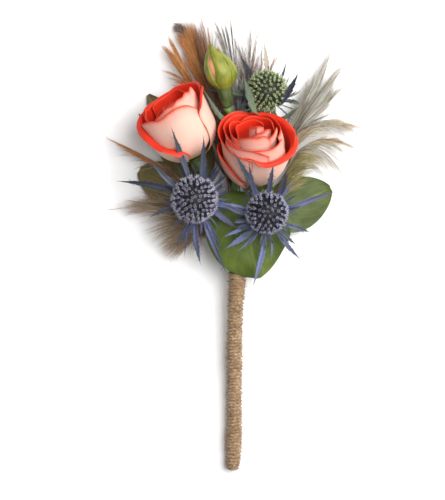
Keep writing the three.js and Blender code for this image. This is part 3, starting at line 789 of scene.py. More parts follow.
# %% Rims of the petals
# A petal is listed with its body's radius, its foot's share of its width, how many mm of its
# top, left side and right side are rolled outwards, and its rim from left to right: the turn
# in degrees, the distance from the axis and the height.
OPEN_ROSE_PETALS = [
    (13.3, 0.5, (3.4, 0.2, 0.4),
     [(-24, 14.0, 5.6), (-4, 14.0, 6.6), (16, 15.2, 6.2), (40, 15.5, 6), (60, 16.1, 5.8),
      (80, 15.8, 5.8), (98, 15.2, 4.2)]),
    (13.5, 0.5, (3.2, 0.4, 0.4),
     [(68, 15.8, 5), (98, 15.2, 6), (118, 14.2, 6.3), (146, 13.9, 6.2), (170, 14.3, 6.4),
      (190, 15.2, 6.2), (210, 15, 4.4)]),
    (15.3, 0.45, (0.9, 0.2, 0.2),
     [(250, 15, -1.5), (268, 15.3, 0), (285, 15.4, 0.8), (302, 15.2, 0), (316, 14.6, -3),
      (326, 13.6, -7), (332, 12, -10)]),
    (12.2, 0.5, (0.7, 0.1, 0),
     [(-16, 12.2, 8.2), (5, 12.2, 9.0), (25, 11.9, 8.2), (45, 11.4, 8.2), (58, 11, 8.8), (68, 10.8, 5.5)]),
    (13.6, 0.5, (0.7, 0, 0.2),
     [(186, 15, 4), (206, 16.2, 6), (228, 16.3, 6.4), (250, 15.6, 6), (270, 14.6, 6.3), (292, 13.5, 6.1),
      (318, 13.9, 6), (338, 14, 5.6), (352, 13.8, 4)]),
    (13.0, 0.5, (0.9, 0, 0),
     [(-78, 12.4, 6.6), (-54, 12.6, 8.2), (-30, 12.4, 9), (-8, 12.6, 9.3), (8, 13.2, 8.2),
      (20, 13.6, 5.8)]),
    (11.0, 0.5, (0.6, 0, 0),
     [(64, 9.4, 8.2), (90, 9.4, 8.2), (113, 9.8, 7.4), (140, 10.8, 7.1), (165, 12.2, 6.6),
      (190, 12.4, 5.2)]),
    (11.8, 0.5, (0.6, 0, 0),
     [(186, 12, 5.4), (214, 13.2, 7.2), (246, 13.6, 7.1), (272, 12, 8.2), (298, 11.3, 8.3), (318, 11, 7)]),
    (9.0, 0.6, (0.5, 0, 0),
     [(-70, 8.9, 7.6), (-48, 8.5, 9.6), (-24, 8.1, 11.6), (2, 7.9, 11.8), (24, 8, 12), (40, 8.2, 8.6)]),
    (8.6, 0.6, (0.5, 0, 0),
     [(108, 7.8, 6.4), (136, 8.2, 7.9), (165, 9, 7.3), (192, 10, 7.6), (220, 10, 6)]),
    (9.8, 0.6, (0.5, 0, 0),
     [(208, 10, 5.8), (238, 11.2, 8), (266, 10.4, 8.5), (290, 10, 9.4), (314, 9.2, 8)]),
    (8.0, 0.6, (0.4, 0, 0),
     [(20, 7.4, 8), (38, 7.9, 9.6), (55, 8.4, 11), (70, 8.7, 12.6), (82, 8.4, 10), (98, 8, 7)]),
    (7.0, 0.7, (0.4, 0, 0),
     [(152, 6, 6.6), (192, 7, 8.2), (226, 7.8, 8.2), (255, 8, 9.2), (286, 7.4, 9)]),
    (5.6, 0.7, (0.3, 0, 0),
     [(-26, 5.4, 9.4), (5, 5.2, 11.4), (28, 5.3, 11.6), (50, 5.2, 11.8), (75, 5.7, 10.2), (104, 5.8, 7.6)]),
]  # fmt: skip
HALF_OPEN_ROSE_PETALS = [
    (13.5, 0.35, (3.9, 0.2, 0),
     [(-155, 12, 11), (-128, 12.4, 11.8), (-108, 13.2, 11.6), (-92, 13.6, 10.8), (-76, 13.5, 8.6),
      (-64, 13.4, 6), (-54, 13.4, 3.2), (-40, 13.3, 0.8), (-26, 13.2, -1.2), (-16, 13, -4), (-8, 13, -7.4)]),
    (13.7, 0.6, (1.7, 0.2, 0.2),
     [(40, 13.3, 3), (42, 13.2, 6), (48, 13.2, 8.4), (57, 13.2, 10.6),
      (68, 13.4, 12.4), (84, 13.8, 13), (108, 14.2, 12.6), (140, 14, 11), (160, 13.5, 6)]),
    (12.4, 0.5, (1.4, 0.4, 0.4),
     [(126, 13.8, 11), (150, 13.4, 13.7), (176, 11.7, 14), (205, 11, 13.3), (235, 11, 12.8),
      (262, 11.4, 9.6)]),
    (12.8, 0.3, (0.3, 0, 0),
     [(-97, 13, 8.4), (-86, 13.4, 9.4), (-68, 13, 10.7), (-50, 12.6, 11.2), (-32, 12.2, 10.7),
      (-15, 12.3, 12), (5, 12.6, 12.7), (25, 12.5, 11.6), (43, 11.9, 8.4), (56, 11.3, 5), (66, 10.8, 1)]),
    (12.8, 0.5, (1.3, 0.3, 0.3),
     [(82, 13.4, 11), (104, 13.8, 13.6), (130, 13.6, 14.4), (155, 12.8, 14.4), (178, 11.2, 12)]),
    (11.0, 0.5, (0.6, 0, 0),
     [(196, 9.2, 12.4), (216, 9.6, 13.3), (236, 10, 12.4), (254, 10.2, 13.1), (272, 10.6, 11.2),
      (292, 11, 8.6)]),
    (10.6, 0.5, (0.3, 0, 0),
     [(-52, 9.8, 10.4), (-30, 9.5, 11.9), (-10, 9.5, 13.4), (4, 9.6, 13.2), (20, 9.7, 14.6),
      (34, 9.8, 14.2), (48, 10, 15.4), (60, 10.3, 14.4), (73, 11, 15.6), (90, 11.4, 11)]),
    (9.2, 0.6, (0.6, 0, 0),
     [(112, 8.4, 12.4), (140, 8.8, 14), (168, 8.6, 13.7), (200, 8, 13.4), (232, 8, 11.8)]),
]  # fmt: skip
print("listed petals:", len(OPEN_ROSE_PETALS), "and", len(HALF_OPEN_ROSE_PETALS))

# %% One petal
# A petal's foot starts at a share of the way up its bowl. Its margins are rolled round a circle
# of the roll's radius, or of a share of the rolled length where that is more.
PETAL = {"thickness": 0.34, "foot": 0.2, "roll": 0.6, "curl": 0.38, "buckle": 0.16}
BOWL_ARC = 1.3  # length of the bowl's side as a share of its depth
WAVES = {"count": 4, "rate": (1.5, 6), "height": (0.08, 0.3)}


def meridian(body, depth, rim_radius, rim_height, along):
    """One line of a petal from its foot to its rim: round the bowl, then straight up to the rim.

    A rim below height 0 ends the line before it has reached the bowl's widest place.
    """
    wall = max(0.0, rim_height)
    bowl_top = 1.0 if rim_height >= 0 else 2 / math.pi * math.acos(min(1.0, -rim_height / depth))
    bowl_length = (bowl_top - PETAL["foot"]) * depth * BOWL_ARC
    share = along * (bowl_length + wall) / bowl_length
    if share <= 1:
        angle = mix(PETAL["foot"], bowl_top, share) * math.pi / 2
        radius, height = body * math.sin(angle), -depth * math.cos(angle)
        if rim_height >= 0:
            return radius, height
        return radius + (rim_radius - body * math.sin(bowl_top * math.pi / 2)) * share**3, height
    above = (share - 1) * bowl_length / max(wall, 1e-6)
    return mix(body, rim_radius, above**1.5), above * wall


def make_petal(rose, number, shape):
    """A petal from its row in the list, with a few slow waves of its own."""
    place = rose_frame(rose)
    rng = random.Random(f"{rose['name']} {number}")
    body, foot_share, rolls, rim = shape
    rim_line = smooth_path(*rim)
    middle = rim_line(0.5).x
    depth = rose["depth"] - (rose["radius"] - body)
    waves = []
    for _ in range(WAVES["count"]):
        rate, phase = rng.uniform(*WAVES["rate"]), rng.uniform(0, 2 * math.pi)
        waves.append((rate, phase, rng.uniform(*WAVES["height"])))
    radii = (max(PETAL["roll"], rolls[0] * PETAL["curl"]), PETAL["roll"], PETAL["roll"])

    def sheet(across, along):
        """The petal before its rims are rolled."""
        turn, radius, height = rim_line(across)
        ripple = sum(tall * math.sin(rate * (2 * across - 1) + phase) for rate, phase, tall in waves)
        spread = mix(foot_share, 1.0, min(1.0, along / 0.85) ** 0.9)
        radius, height = meridian(body, depth, radius, height + 0.5 * ripple, along)
        dents = noise.noise(Vector((across * 5, along * 3, number))) * math.sin(math.pi * along)
        turn = math.radians(middle + (turn - middle) * spread)
        return place(radius + 0.5 * ripple * along**3 + PETAL["buckle"] * dents, turn, height)

    height_mm = max(h for _, _, h in rim) + 1.2 * depth
    width_mm = math.radians(rim[-1][0] - rim[0][0]) * body

    def margins(across, along):
        """Distances in mm to the top, left and right edges."""
        return (1 - along) * height_mm, across * width_mm, (1 - across) * width_mm

    def surface(across, along):
        spot = sheet(across, along)
        step = 0.01
        wide = (sheet(min(across + step, 1), along) - sheet(max(across - step, 0), along)).normalized()
        tall = (sheet(across, min(along + step, 1)) - sheet(across, max(along - step, 0))).normalized()
        outward = wide.cross(tall).normalized()
        if outward.dot(spot - place(0, 0, 0)) < 0:
            outward = -outward
        inward = (-tall, wide, -wide)
        fade = smooth(0, 0.3, across) * (1 - smooth(0.84, 1, across))
        reaches = (rolls[0] * fade, *rolls[1:])
        for margin, reach, back, roll in zip(margins(across, along), reaches, inward, radii):
            turn = max(0.0, reach - margin) / roll
            spot += outward * (roll * (1 - math.cos(turn)))
            spot += back * (roll * (turn - math.sin(turn)))
        return spot

    def to_edge(across, along):
        """Centimetres from a corner of the mesh to the nearest edge; the foot has none."""
        top_edge, left, right = margins(across, along)
        sides = min(left, right) + 0.5 + 30 * (1 - smooth(0.3, 0.8, along))
        return (min(top_edge, sides) * 0.1, 0)

    mesh = bmesh.new()
    mesh.loops.layers.uv.new("UVMap")
    edge = mesh.loops.layers.uv.new("Edge")

    def crowd(across, along):
        """More corners near the rims, where the petal rolls."""
        return 0.5 - 0.5 * math.cos(math.pi * across), math.sin(along * math.pi / 2)

    add_grid(mesh, 30, 26, lambda across, along: surface(*crowd(across, along)), crowd)
    uv = mesh.loops.layers.uv["UVMap"]
    for face in mesh.faces:
        for loop in face.loops:
            loop[edge].uv = to_edge(*loop[uv].uv)
    bmesh.ops.recalc_face_normals(mesh, faces=mesh.faces)
    turn_outwards(mesh, place(0, 0, 0))
    name, label = rose["name"], f"{number + 1:02d}"
    node = f"{name}_petal_{label}"
    piece = finish_piece(mesh, f"{name}_curled_petal_{label}", "rose_petal", [node], petal_back, petal_face)
    thicken(piece, PETAL["thickness"], inside=1)


def turn_outwards(mesh, centre):
    """A sheet has no inside, so its faces are turned away from a centre."""
    outward = sum((face.normal.dot(face.calc_center_median() - centre) for face in mesh.faces), 0.0)
    if outward < 0:
        bmesh.ops.reverse_faces(mesh, faces=mesh.faces)


# %% Petals of both roses
first = len(made_pieces)
for rose, shapes in ((OPEN_ROSE, OPEN_ROSE_PETALS), (HALF_OPEN_ROSE, HALF_OPEN_ROSE_PETALS)):
    for number, shape in enumerate(shapes):
        make_petal(rose, number, shape)
report("petals", first)


# %% [markdown]
# ## The heart of a rose
#
# In the middle the last petals are still furled round each other. Each could be a sheet of its
# own, but one sheet wound into a tight spiral reads as several of them, because its free edge
# shows as crescents. Two cups stand round it, for the petals behind the listed ones, so that
# nobody who looks in from above sees past them to the green hip.


# %% Hearts
WINDS = 2.6
HEART_FOOT = 0.35  # share of the bowl's depth


def make_heart(rose, radius, top, tilt, cups):
    """A spiral whose rim stands at a height of top, and tilt mm higher at the front.

    Each cup is given by its radius and the height of its rim.
    """
    place = rose_frame(rose)
    foot = -rose["depth"] * HEART_FOOT

    def surface(across, along):
        turn = across * WINDS * 2 * math.pi
        close_in = mix(1.0, 0.1, across)
        swell = math.sin(math.pi * clamp(0.34 + 0.44 * along)) ** 0.8
        rim = top + tilt * math.cos(turn) * close_in + 0.35 * math.sin(3 * turn)
        return place(radius * close_in * swell, turn, mix(foot, rim, along))

    mesh = bmesh.new()
    mesh.loops.layers.uv.new("UVMap")
    edge = mesh.loops.layers.uv.new("Edge")
    add_grid(mesh, 84, 12, surface)
    for body, rim_height in cups:

        def cup(across, along):
            turn = across * 2 * math.pi
            height = rim_height + 0.9 * math.sin(2 * turn + body) + 0.4 * math.sin(5 * turn)
            depth = rose["depth"] - (rose["radius"] - body)
            wall, level = meridian(body, depth, body * 0.97, height, along)
            return place(wall, turn, level)

        add_grid(mesh, 48, 14, cup)
    bmesh.ops.remove_doubles(mesh, verts=mesh.verts, dist=SEAM)
    uv = mesh.loops.layers.uv["UVMap"]
    for face in mesh.faces:
        for loop in face.loops:
            loop[edge].uv = ((1 - loop[uv].uv[1]) * (top - foot) * 0.1, 0)
    turn_outwards(mesh, place(0, 0, 0))
    name, skins = rose["name"], (petal_back, petal_face)
    piece = finish_piece(mesh, f"{name}_furled_heart", "rose_petal", [f"{name}_heart"], *skins)
    thicken(piece, PETAL["thickness"], inside=1)


first = len(made_pieces)
make_heart(OPEN_ROSE, 4.2, 10.4, 2.4, [(7.5, 3.0), (10.4, 2.0)])
make_heart(HALF_OPEN_ROSE, 5.6, 11.6, 0.6, [(7.6, 9.0), (10.1, 5.0)])
report("hearts", first)

# %% [markdown]
# ## Hips and sepals
#
# Under each rose the stem swells into a hip, and five narrow sepals lie along the petals.
# The hip is a turned shape. A spin would make it, but a bent grid carries the same profile
# round the flower's axis and keeps a UV map for the streaks. The sepals are sheets on a shell
# just outside the petals.


# %% Calyxes
def add_turned(mesh, outline, place, sides, steps):
    """A turned shape: a smooth profile of (radius, height) carried round an axis."""
    profile = smooth_path(*[(radius, height, 0) for radius, height in outline])

    def surface(around, along):
        point = profile(along)
        return place(max(point.x, 0.0), around * 2 * math.pi, point.y)

    add_grid(mesh, sides, steps, surface)


def add_thick_sheet(mesh, across_steps, along_steps, surface, thickness):
    """A sheet inside a mesh, given its thickness at once so that its neighbours keep theirs."""
    verts = add_grid(mesh, across_steps, along_steps, surface)
    faces = list({face for vert in verts for face in vert.link_faces})
    bmesh.ops.solidify(mesh, geom=faces, thickness=thickness)


def sort_faces(mesh):
    """Solidify leaves faces in a chance order; sorted by place, they are the same in every run."""
    for number, vert in enumerate(sorted(mesh.verts, key=lambda vert: tuple(vert.co))):
        vert.index = number
    for number, face in enumerate(sorted(mesh.faces, key=lambda face: tuple(face.calc_center_median()))):
        face.index = number
    mesh.verts.sort()
    mesh.faces.sort()


SEPAL = {"thickness": 0.35, "off": 0.4, "half_width": 17}  # off is in steps from petal to petal


def sepal_line(rose, level):
    """The shell outside the petals: a bowl up to level 1, and above it an upright wall."""
    step = SEPAL["off"] * rose["pitch"]
    angle = min(level, 1) * math.pi / 2
    height = -(rose["depth"] + step) * math.cos(angle) + rose["rise"] * max(0.0, level - 1)
    return (rose["radius"] + step) * math.sin(angle), height


def make_rose_calyx(rose):
    """The hip and its five sepals."""
    place = rose_frame(rose)
    base = -rose["depth"]
    mesh = bmesh.new()
    outline = [
        (0, base - HIP_LENGTH),
        (1.8, base - HIP_LENGTH + 0.2),
        (3.1, base - 4.6),
        (3.3, base - 2.8),
        (2.9, base - 0.9),
        (3.6, base + 0.3),
        (2.2, base + 1.0),
        (0, base + 1.2),
    ]
    add_turned(mesh, outline, place, 24, 28)
    for turn, top, lift in rose["sepals"]:
        middle = math.radians(turn)

        def surface(across, along):
            side = 2 * across - 1
            level = mix(0.06, top, along)
            radius, height = sepal_line(rose, level)
            taper = (1.6 - 1.5 * along**1.2) * (1 - 0.5 * smooth(0.8, 1.0, along))
            wide = math.radians(SEPAL["half_width"]) * taper
            return place(radius - 0.5 * side * side + lift * along**2, middle + side * wide, height)

        add_thick_sheet(mesh, 6, 14, surface, SEPAL["thickness"])
    sort_faces(mesh)
    close(mesh)
    name = rose["name"]
    finish_piece(mesh, f"{name}_hip_and_sepals", "sepal_green", [f"{name}_calyx"], hip_green)


first = len(made_pieces)
for rose in (OPEN_ROSE, HALF_OPEN_ROSE):
    make_rose_calyx(rose)
report("hips", first)


# %% [markdown]
# ## Rosebud
#
# The bud is an egg of closed petals inside five sepals that meet at its tip. One painted egg
# would be quicker, but its gaps would be flat. Here the sepals are sheets of their own on a
# salmon egg, and where a sepal's side draws back, the petals show below its edge.


# %% Bud
BUD_NOD = Vector((-2.2, 0, 0))


def bud_radius(height):
    """An egg below its widest place, and a drawn-out point above it."""
    if height > BUD["widest"]:
        above = (height - BUD["widest"]) / (BUD["length"] - BUD["widest"])
        return BUD["radius"] * max(0.0, 1 - above**1.7)
    below = (BUD["widest"] - height) / (BUD["widest"] - BUD["foot"] + 0.3)
    return BUD["radius"] * math.sqrt(max(0.0, 1 - below**2))


def bud_lean(height):
    """The point of the bud nods to the left."""
    return BUD_NOD * smooth(6, 20, height)


bud_petal = plant_skin("closed_bud_petals", "#C0704A", "#E0A878", 1.5, roughness=0.6)
bud_place = flower_frame(BUD["base"], BUD["axis"])
first = len(made_pieces)

mesh = bmesh.new()


def bud_surface(around, along):
    """The egg, with three shallow folds that wind up to its point."""
    height = mix(BUD["foot"], BUD["length"], along)
    turn = around * 2 * math.pi
    fold = 0.25 * math.sin(3 * turn + 0.35 * height)
    size = bud_radius(height) * (0 if along in (0, 1) else 1)
    return bud_place(max(0.0, size + fold * min(1, size)), turn, height) + bud_lean(height)


add_grid(mesh, 36, 24, bud_surface)
close(mesh)
finish_piece(mesh, "rosebud_closed_petals", "bud_petal", ["rosebud_petals"], bud_petal)

# %% Sepals of the bud
mesh = bmesh.new()
bud_hip = [(0, -HIP_LENGTH), (1.7, -6.2), (2.3, -4.4), (2.8, -2), (2.9, 0.4), (3.1, 1.8), (2.8, 2.6), (0, 3)]
add_turned(mesh, bud_hip, bud_place, 24, 28)
# where a sepal's side draws back: from and to which share of its length, and by how many degrees
SEPAL_GAPS = {
    (0, -1): (0.22, 0.86, 15),
    (4, 1): (0.22, 0.86, 12),
    (1, 1): (0.42, 1.05, 34),
    (1, -1): (0.6, 1.0, 8),
}
SEPAL_LENGTHS = (1.02, 0.96, 0.95, 1.0, 1.07)  # as shares of the bud's length
BUD_SEPAL_HALF_WIDTH = 37
for face in mesh.faces:
    face.material_index = 1
for number, share in enumerate(SEPAL_LENGTHS):
    middle = math.radians(2 + number * 360 / len(SEPAL_LENGTHS))
    length = BUD["length"] * share

    def sepal_surface(across, along):
        side = 2 * across - 1
        height = mix(BUD["foot"] - 0.3, length, along)
        low, high, opening = SEPAL_GAPS.get((number, 1 if side > 0 else -1), (0, 1, 0))
        gap = opening * math.sin(math.pi * clamp((along - low) / (high - low))) ** 0.8
        ragged = 1 + 0.14 * noise.noise(Vector((along * 12, number * 3.1, math.copysign(1, side))))
        wide = math.radians(BUD_SEPAL_HALF_WIDTH - gap) * (1 - 0.8 * smooth(0.86, 1.0, along)) * ragged
        keel = 0.45 * (1 - side * side) * (1 - smooth(0.7, 1, along))
        egg = bud_radius(clamp(height, BUD["foot"], BUD["length"]))
        snug = max(egg, 2.4 * (1 - smooth(1.5, 4, height)))
        tip = 0.8 * smooth(0.85, 1.0, along) * (1 + math.sin(number * 1.7 + 1))
        spot = bud_place(max(0.1, snug + 0.35 + keel + tip), middle + side * wide, height)
        return spot + bud_lean(height)

    add_thick_sheet(mesh, 8, 20, sepal_surface, SEPAL["thickness"])
sort_faces(mesh)
close(mesh)
finish_piece(mesh, "rosebud_hip_and_sepals", "sepal_green", ["rosebud_calyx"], bud_green, hip_green)
report("rosebud", first)

# %% [markdown]
# ## Sea holly bracts
#
# Under each head stands a ruff of stiff, spiny bracts, as narrow as grass and steel blue. One
# bract could be copied round in a ring, but a real ruff is uneven: a few long blades reach far
# out and many short ones fill in between. So the long ones are listed by their tips, and the
# short ones are spread at random. Each is a strip along a bent line, folded a little along its
# middle, with a jagged edge and fine spines that point forward.


# %% Bract material
def bract_material(name, foot, blade, tip):
    """Stiff dry leaf: flecked along the blade by its bloom of wax, with a shade of its own at the tip."""
    material, tree, shader = new_material(name, Roughness=0.55, Sheen_Weight=0.15)
    uv = add(tree, "ShaderNodeUVMap", {}, uv_map="UVMap").outputs["UV"]
    place = add(tree, "ShaderNodeTexCoord", {}).outputs["Object"]
    along = add(tree, "ShaderNodeSeparateXYZ", {0: uv}).outputs[1]
    speck = add(tree, "ShaderNodeTexNoise", {"Vector": place, "Scale": 1 / (0.8 * MM), "Detail": 4})
    flecked = {0: speck.outputs["Fac"], 1: 0.5, 2: along}
    rough = add(tree, "ShaderNodeMath", flecked, operation="MULTIPLY_ADD")
    tone = ramp(tree, rough.outputs[0], (0.15, foot), (0.42, blade), (0.55, foot), (0.7, blade), (1.0, tip))
    tree.links.new(tone, shader.inputs["Base Color"])
    bump = {"Height": speck.outputs["Fac"], "Strength": 0.5, "Distance": 0.2 * MM}
    tree.links.new(add(tree, "ShaderNodeBump", bump).outputs[0], shader.inputs["Normal"])
    return material


bract_blue = bract_material("sea_holly_bract_blue", "#3A3860", "#55587E", "#43465E")
bract_steel = bract_material("sea_holly_bract_steel", "#3E4060", "#565E74", "#3E4650")
bract_green = bract_material("sea_holly_bract_green", "#4A5A3A", "#6E8060", "#4E5A48")
bract_navy = bract_material("sea_holly_bract_navy", "#26283A", "#343A50", "#1E2230")
bract_dry = bract_material("sea_holly_bract_dry", "#6E5C4A", "#A8957E", "#B0A290")
bract_sky = bract_material("sea_holly_bract_sky", "#474B78", "#646E96", "#7078A0")

# %% One bract
BRACT_HALF_WIDTH = 1.05
BRACT_THICKNESS = 0.3
SPINES = {"apart": 2.4, "length": (0.8, 2.0), "radius": 0.2}
RUFF_OUTLINE = [
    (0, -RUFF_HALF_THICKNESS),
    (3.8, -0.4),
    (4.0, 0),
    (3.8, 0.4),
    (0, RUFF_HALF_THICKNESS),
]


def add_spine(mesh, root, tip, width):
    """A short closed thorn."""
    path = bezier(root, root.lerp(tip, 0.5), tip)
    add_tube(mesh, path, lambda share, turn: width * (1 - share) * min(1.0, 20 * share), 4, 3)


def add_bract(mesh, base, along, radius, tip, rng, skin, slim=1.0, via=()):
    """A blade along a bent line, or through the points of via: slim at its foot, widest past its middle."""
    reach = Vector(tip) - base
    lift = reach.dot(along)
    outward = (reach - along * lift).normalized()
    sideways = along.cross(outward) * rng.uniform(-0.12, 0.12) * reach.length
    start = base + outward * 2.4
    shoulder = base + outward * (radius + 1.2) + along * max(0.0, 0.15 * lift) + sideways
    path = evenly(smooth_path(start, *via, tip))[0] if via else bezier(start, shoulder, Vector(tip))
    length = (Vector(tip) - start).length
    twist = rng.uniform(-0.5, 0.5)
    widest = rng.uniform(0.85, 1.15)
    before = set(mesh.faces)

    def frame_at(share):
        tangent = direction(path, share)
        side = tangent.cross(along).normalized()
        return path(share), tangent, side, side.cross(tangent)

    def half_width(share):
        blade = mix(0.5, 1.0, smooth(0.1, 0.6, share)) * (1 - smooth(0.66, 1.02, share)) ** 0.9
        return BRACT_HALF_WIDTH * slim * widest * max(0.04, blade)

    def surface(across, share):
        spot, tangent, side, face = frame_at(share)
        s = 2 * across - 1
        half = half_width(share)
        jag = (share * length * 0.55 + (0.5 if s > 0 else 0)) % 1.0
        ragged = 1 + abs(s) * (0.45 * jag - 0.2)
        turned = side * math.cos(twist * share) + face * math.sin(twist * share)
        return spot + turned * (s * half * ragged) + face * (0.4 * abs(s) * half)

    add_thick_sheet(mesh, 6, 44, surface, BRACT_THICKNESS)
    for k in range(int(length / SPINES["apart"])):
        share = clamp(0.2 + 0.75 * (k + rng.random()) * SPINES["apart"] / length, 0.2, 0.92)
        spot, tangent, side, face = frame_at(share)
        hand = 1 if k % 2 else -1
        root = spot + side * (hand * half_width(share) * 0.8)
        lean = side * hand * rng.uniform(0.6, 1.1) + tangent + face * rng.uniform(-0.1, 0.5)
        reach = lean.normalized() * rng.uniform(*SPINES["length"]) * min(1, slim + 0.3)
        add_spine(mesh, root, root + reach, SPINES["radius"])
    for face in set(mesh.faces) - before:
        face.material_index = skin


# %% Ruffs
MORE_TIPS = {  # more bracts: tip, share of the full width, skin, and the points that some pass on their way
    "left": [
        ((-5.2, -3.2, 17), 0.7, 1), ((1.2, 12.9, 27), 0.9, 3), ((-21, -6, 16), 0.5, 1),
        ((-29, 22, 22), 0.5, 0), ((-5.5, 24, 27), 0.6, 1), ((-2.5, 20, 26), 0.5, 1),
        ((-9, 29, 27), 0.6, 1), ((-24, 30, 27), 0.4, 0), ((-7, 31.5, 28), 0.5, 1),
        ((-3.4, 27, 27), 0.5, 1), ((-4.4, 17, 27), 0.4, 3), ((-11.5, 33, 29), 0.5, 0),
    ],
    "right": [
        ((-5.4, 15.4, 27), 0.5, 2), ((0.3, -3.6, 20), 0.5, 2),
        ((-5.2, 2.2, 22), 0.7, 2), ((22.5, 24.5, 30), 0.5, 2),
        ((26, 15, 24), 0.5, 1), ((1.5, 22, 28), 0.5, 0), ((14, -6.5, 18), 0.4, 2),
        ((24, -1, 19), 0.5, 1), ((-1, 8, 24), 0.6, 2), ((24.5, 19, 27), 0.4, 0),
        ((1.2, 5, 24), 0.5, 1), ((18, 22.5, 30), 0.4, 2),
    ],
    "back": [
        ((-13.7, 61.3, 27), 1.2, 0, (4, 50, 18), (-4.6, 48.6, 23)),
        ((2.6, 66.6, 28), 1.3, 0, (10, 50.5, 19), (6.8, 53, 25)),
        ((25.4, 54.5, 24), 1.1, 0, (16, 49.5, 19), (19.5, 49.5, 22)),
        ((24.8, 68, 22), 1.3, 3, (17, 55, 20), (20.5, 59, 22)),
        ((4, 62, 22), 0.6, 3), ((20, 73, 16), 0.4, 1),
        ((26, 61, 20), 0.4, 2), ((0, 55, 20), 0.6, 1),
    ],
}  # fmt: skip


def make_bracts(side, skins, long_skins, small):
    """long_skins numbers a skin for each long bract, and so many small ones fill the gaps."""
    thistle = THISTLES[side]
    base = Vector(thistle["base"])
    along = Vector(thistle["axis"]).normalized()
    rng = random.Random(f"{side} bracts")
    mesh = bmesh.new()
    for tip, skin in zip(thistle["tips"], long_skins):
        add_bract(mesh, base, along, thistle["radius"], tip, rng, skin)
    for tip, slim, skin, *via in MORE_TIPS[side]:
        add_bract(mesh, base, along, thistle["radius"], tip, rng, skin, slim, via)
    for k in range(small):
        turn = (k + rng.uniform(-0.3, 0.3)) * 2 * math.pi / small
        reach = thistle["radius"] + rng.uniform(2.0, 5.5)
        tip = base + Vector((reach * math.cos(turn), reach * math.sin(turn), rng.uniform(-1, 5)))
        skin, slim = rng.choice((0, 1)), rng.uniform(0.25, 0.45)
        add_bract(mesh, base, along, thistle["radius"], tip, rng, skin, slim)
    add_turned(mesh, RUFF_OUTLINE, flower_frame(base, along), 20, 8)
    sort_faces(mesh)
    close(mesh)
    finish_piece(mesh, f"{side}_sea_holly_ruff", "thistle_bract", [f"{side}_thistle_bracts"], *skins)


first = len(made_pieces)
LEFT_SKINS = [bract_steel, bract_blue, bract_navy, bract_sky]
make_bracts("left", LEFT_SKINS, [0, 0, 0, 2, 0, 1, 1, 1, 1, 1], small=22)
RIGHT_SKINS = [bract_blue, bract_steel, bract_sky]
make_bracts("right", RIGHT_SKINS, [1, 0, 0, 0, 0, 1, 0, 2, 2, 0], small=20)
BACK_SKINS = [bract_green, bract_blue, bract_dry, bract_navy]
make_bracts("back", BACK_SKINS, [0, 3, 2, 3, 0, 0], small=16)
report("bracts", first)

# %% [markdown]
# ## Sea holly heads
#
# A head is an egg packed with small florets. Each floret is a little cup with five pale teeth
# and a bristle beside it. Its foot and the mouth of its cup are painted near black, as is the
# egg between the cups, for the shade that falls there. Bumps in a material would leave the
# head's outline smooth, so one floret is modelled with few faces and copied all over the egg.
# It is laid in rows from the top down, each row shifted by half a floret against the last,
# which looks like the plant's own crossing spirals and keeps the gaps even.


# %% Floret material
def floret_material(name, painted_shade, cup, tip):
    """Florets are pale at the points and painted dark at the foot, as shade, so height in the floret is
    colour.
    """
    material, tree, shader = new_material(name, Roughness=0.6, Sheen_Weight=0.1)
    uv = add(tree, "ShaderNodeUVMap", {}, uv_map="UVMap").outputs["UV"]
    place = add(tree, "ShaderNodeTexCoord", {}).outputs["Object"]
    along = add(tree, "ShaderNodeSeparateXYZ", {0: uv}).outputs[1]
    cloud = add(tree, "ShaderNodeTexNoise", {"Vector": place, "Scale": 1 / (2.2 * MM), "Detail": 3})
    centred = add(tree, "ShaderNodeMath", {0: cloud.outputs["Fac"], 1: 0.5}, operation="SUBTRACT")
    clouded = {0: centred.outputs[0], 1: 0.3, 2: along}
    varied = add(tree, "ShaderNodeMath", clouded, operation="MULTIPLY_ADD")
    tone = ramp(tree, varied.outputs[0], (0.12, painted_shade), (0.62, cup), (0.9, tip))
    tree.links.new(tone, shader.inputs["Base Color"])
    return material


# The first colour of each is painted shade, for the feet of the florets and the gaps between them.
floret_violet = floret_material("sea_holly_floret_violet", "#14131C", "#4A4666", "#D2D0DA")
floret_blue = floret_material("sea_holly_floret_blue", "#0E0E17", "#383858", "#C8C6D6")
floret_green = floret_material("sea_holly_floret_green", "#26301C", "#6E803E", "#DCE4C0")

# %% One floret
FLORET = {"length": 3.1, "cup": 0.6, "foot": 0.26, "teeth": 5, "tooth": 0.88, "spacing": 1.9, "stands": 2.6}
FLORET["mouth"] = 0.78 * FLORET["length"]


def add_point(mesh, spots, size, sides, steps, shades):
    """A bent point whose shade changes from its root to its tip."""
    add_tube(mesh, bezier(*spots), size, sides, steps, lambda around, along: (around, mix(*shades, along)))


def bristle_size(share, turn):
    return 0.16 * (1 - share)


def tooth_size(share, turn):
    return 0.17 * (1 - share) * min(1.0, 9 * share + 0.2)


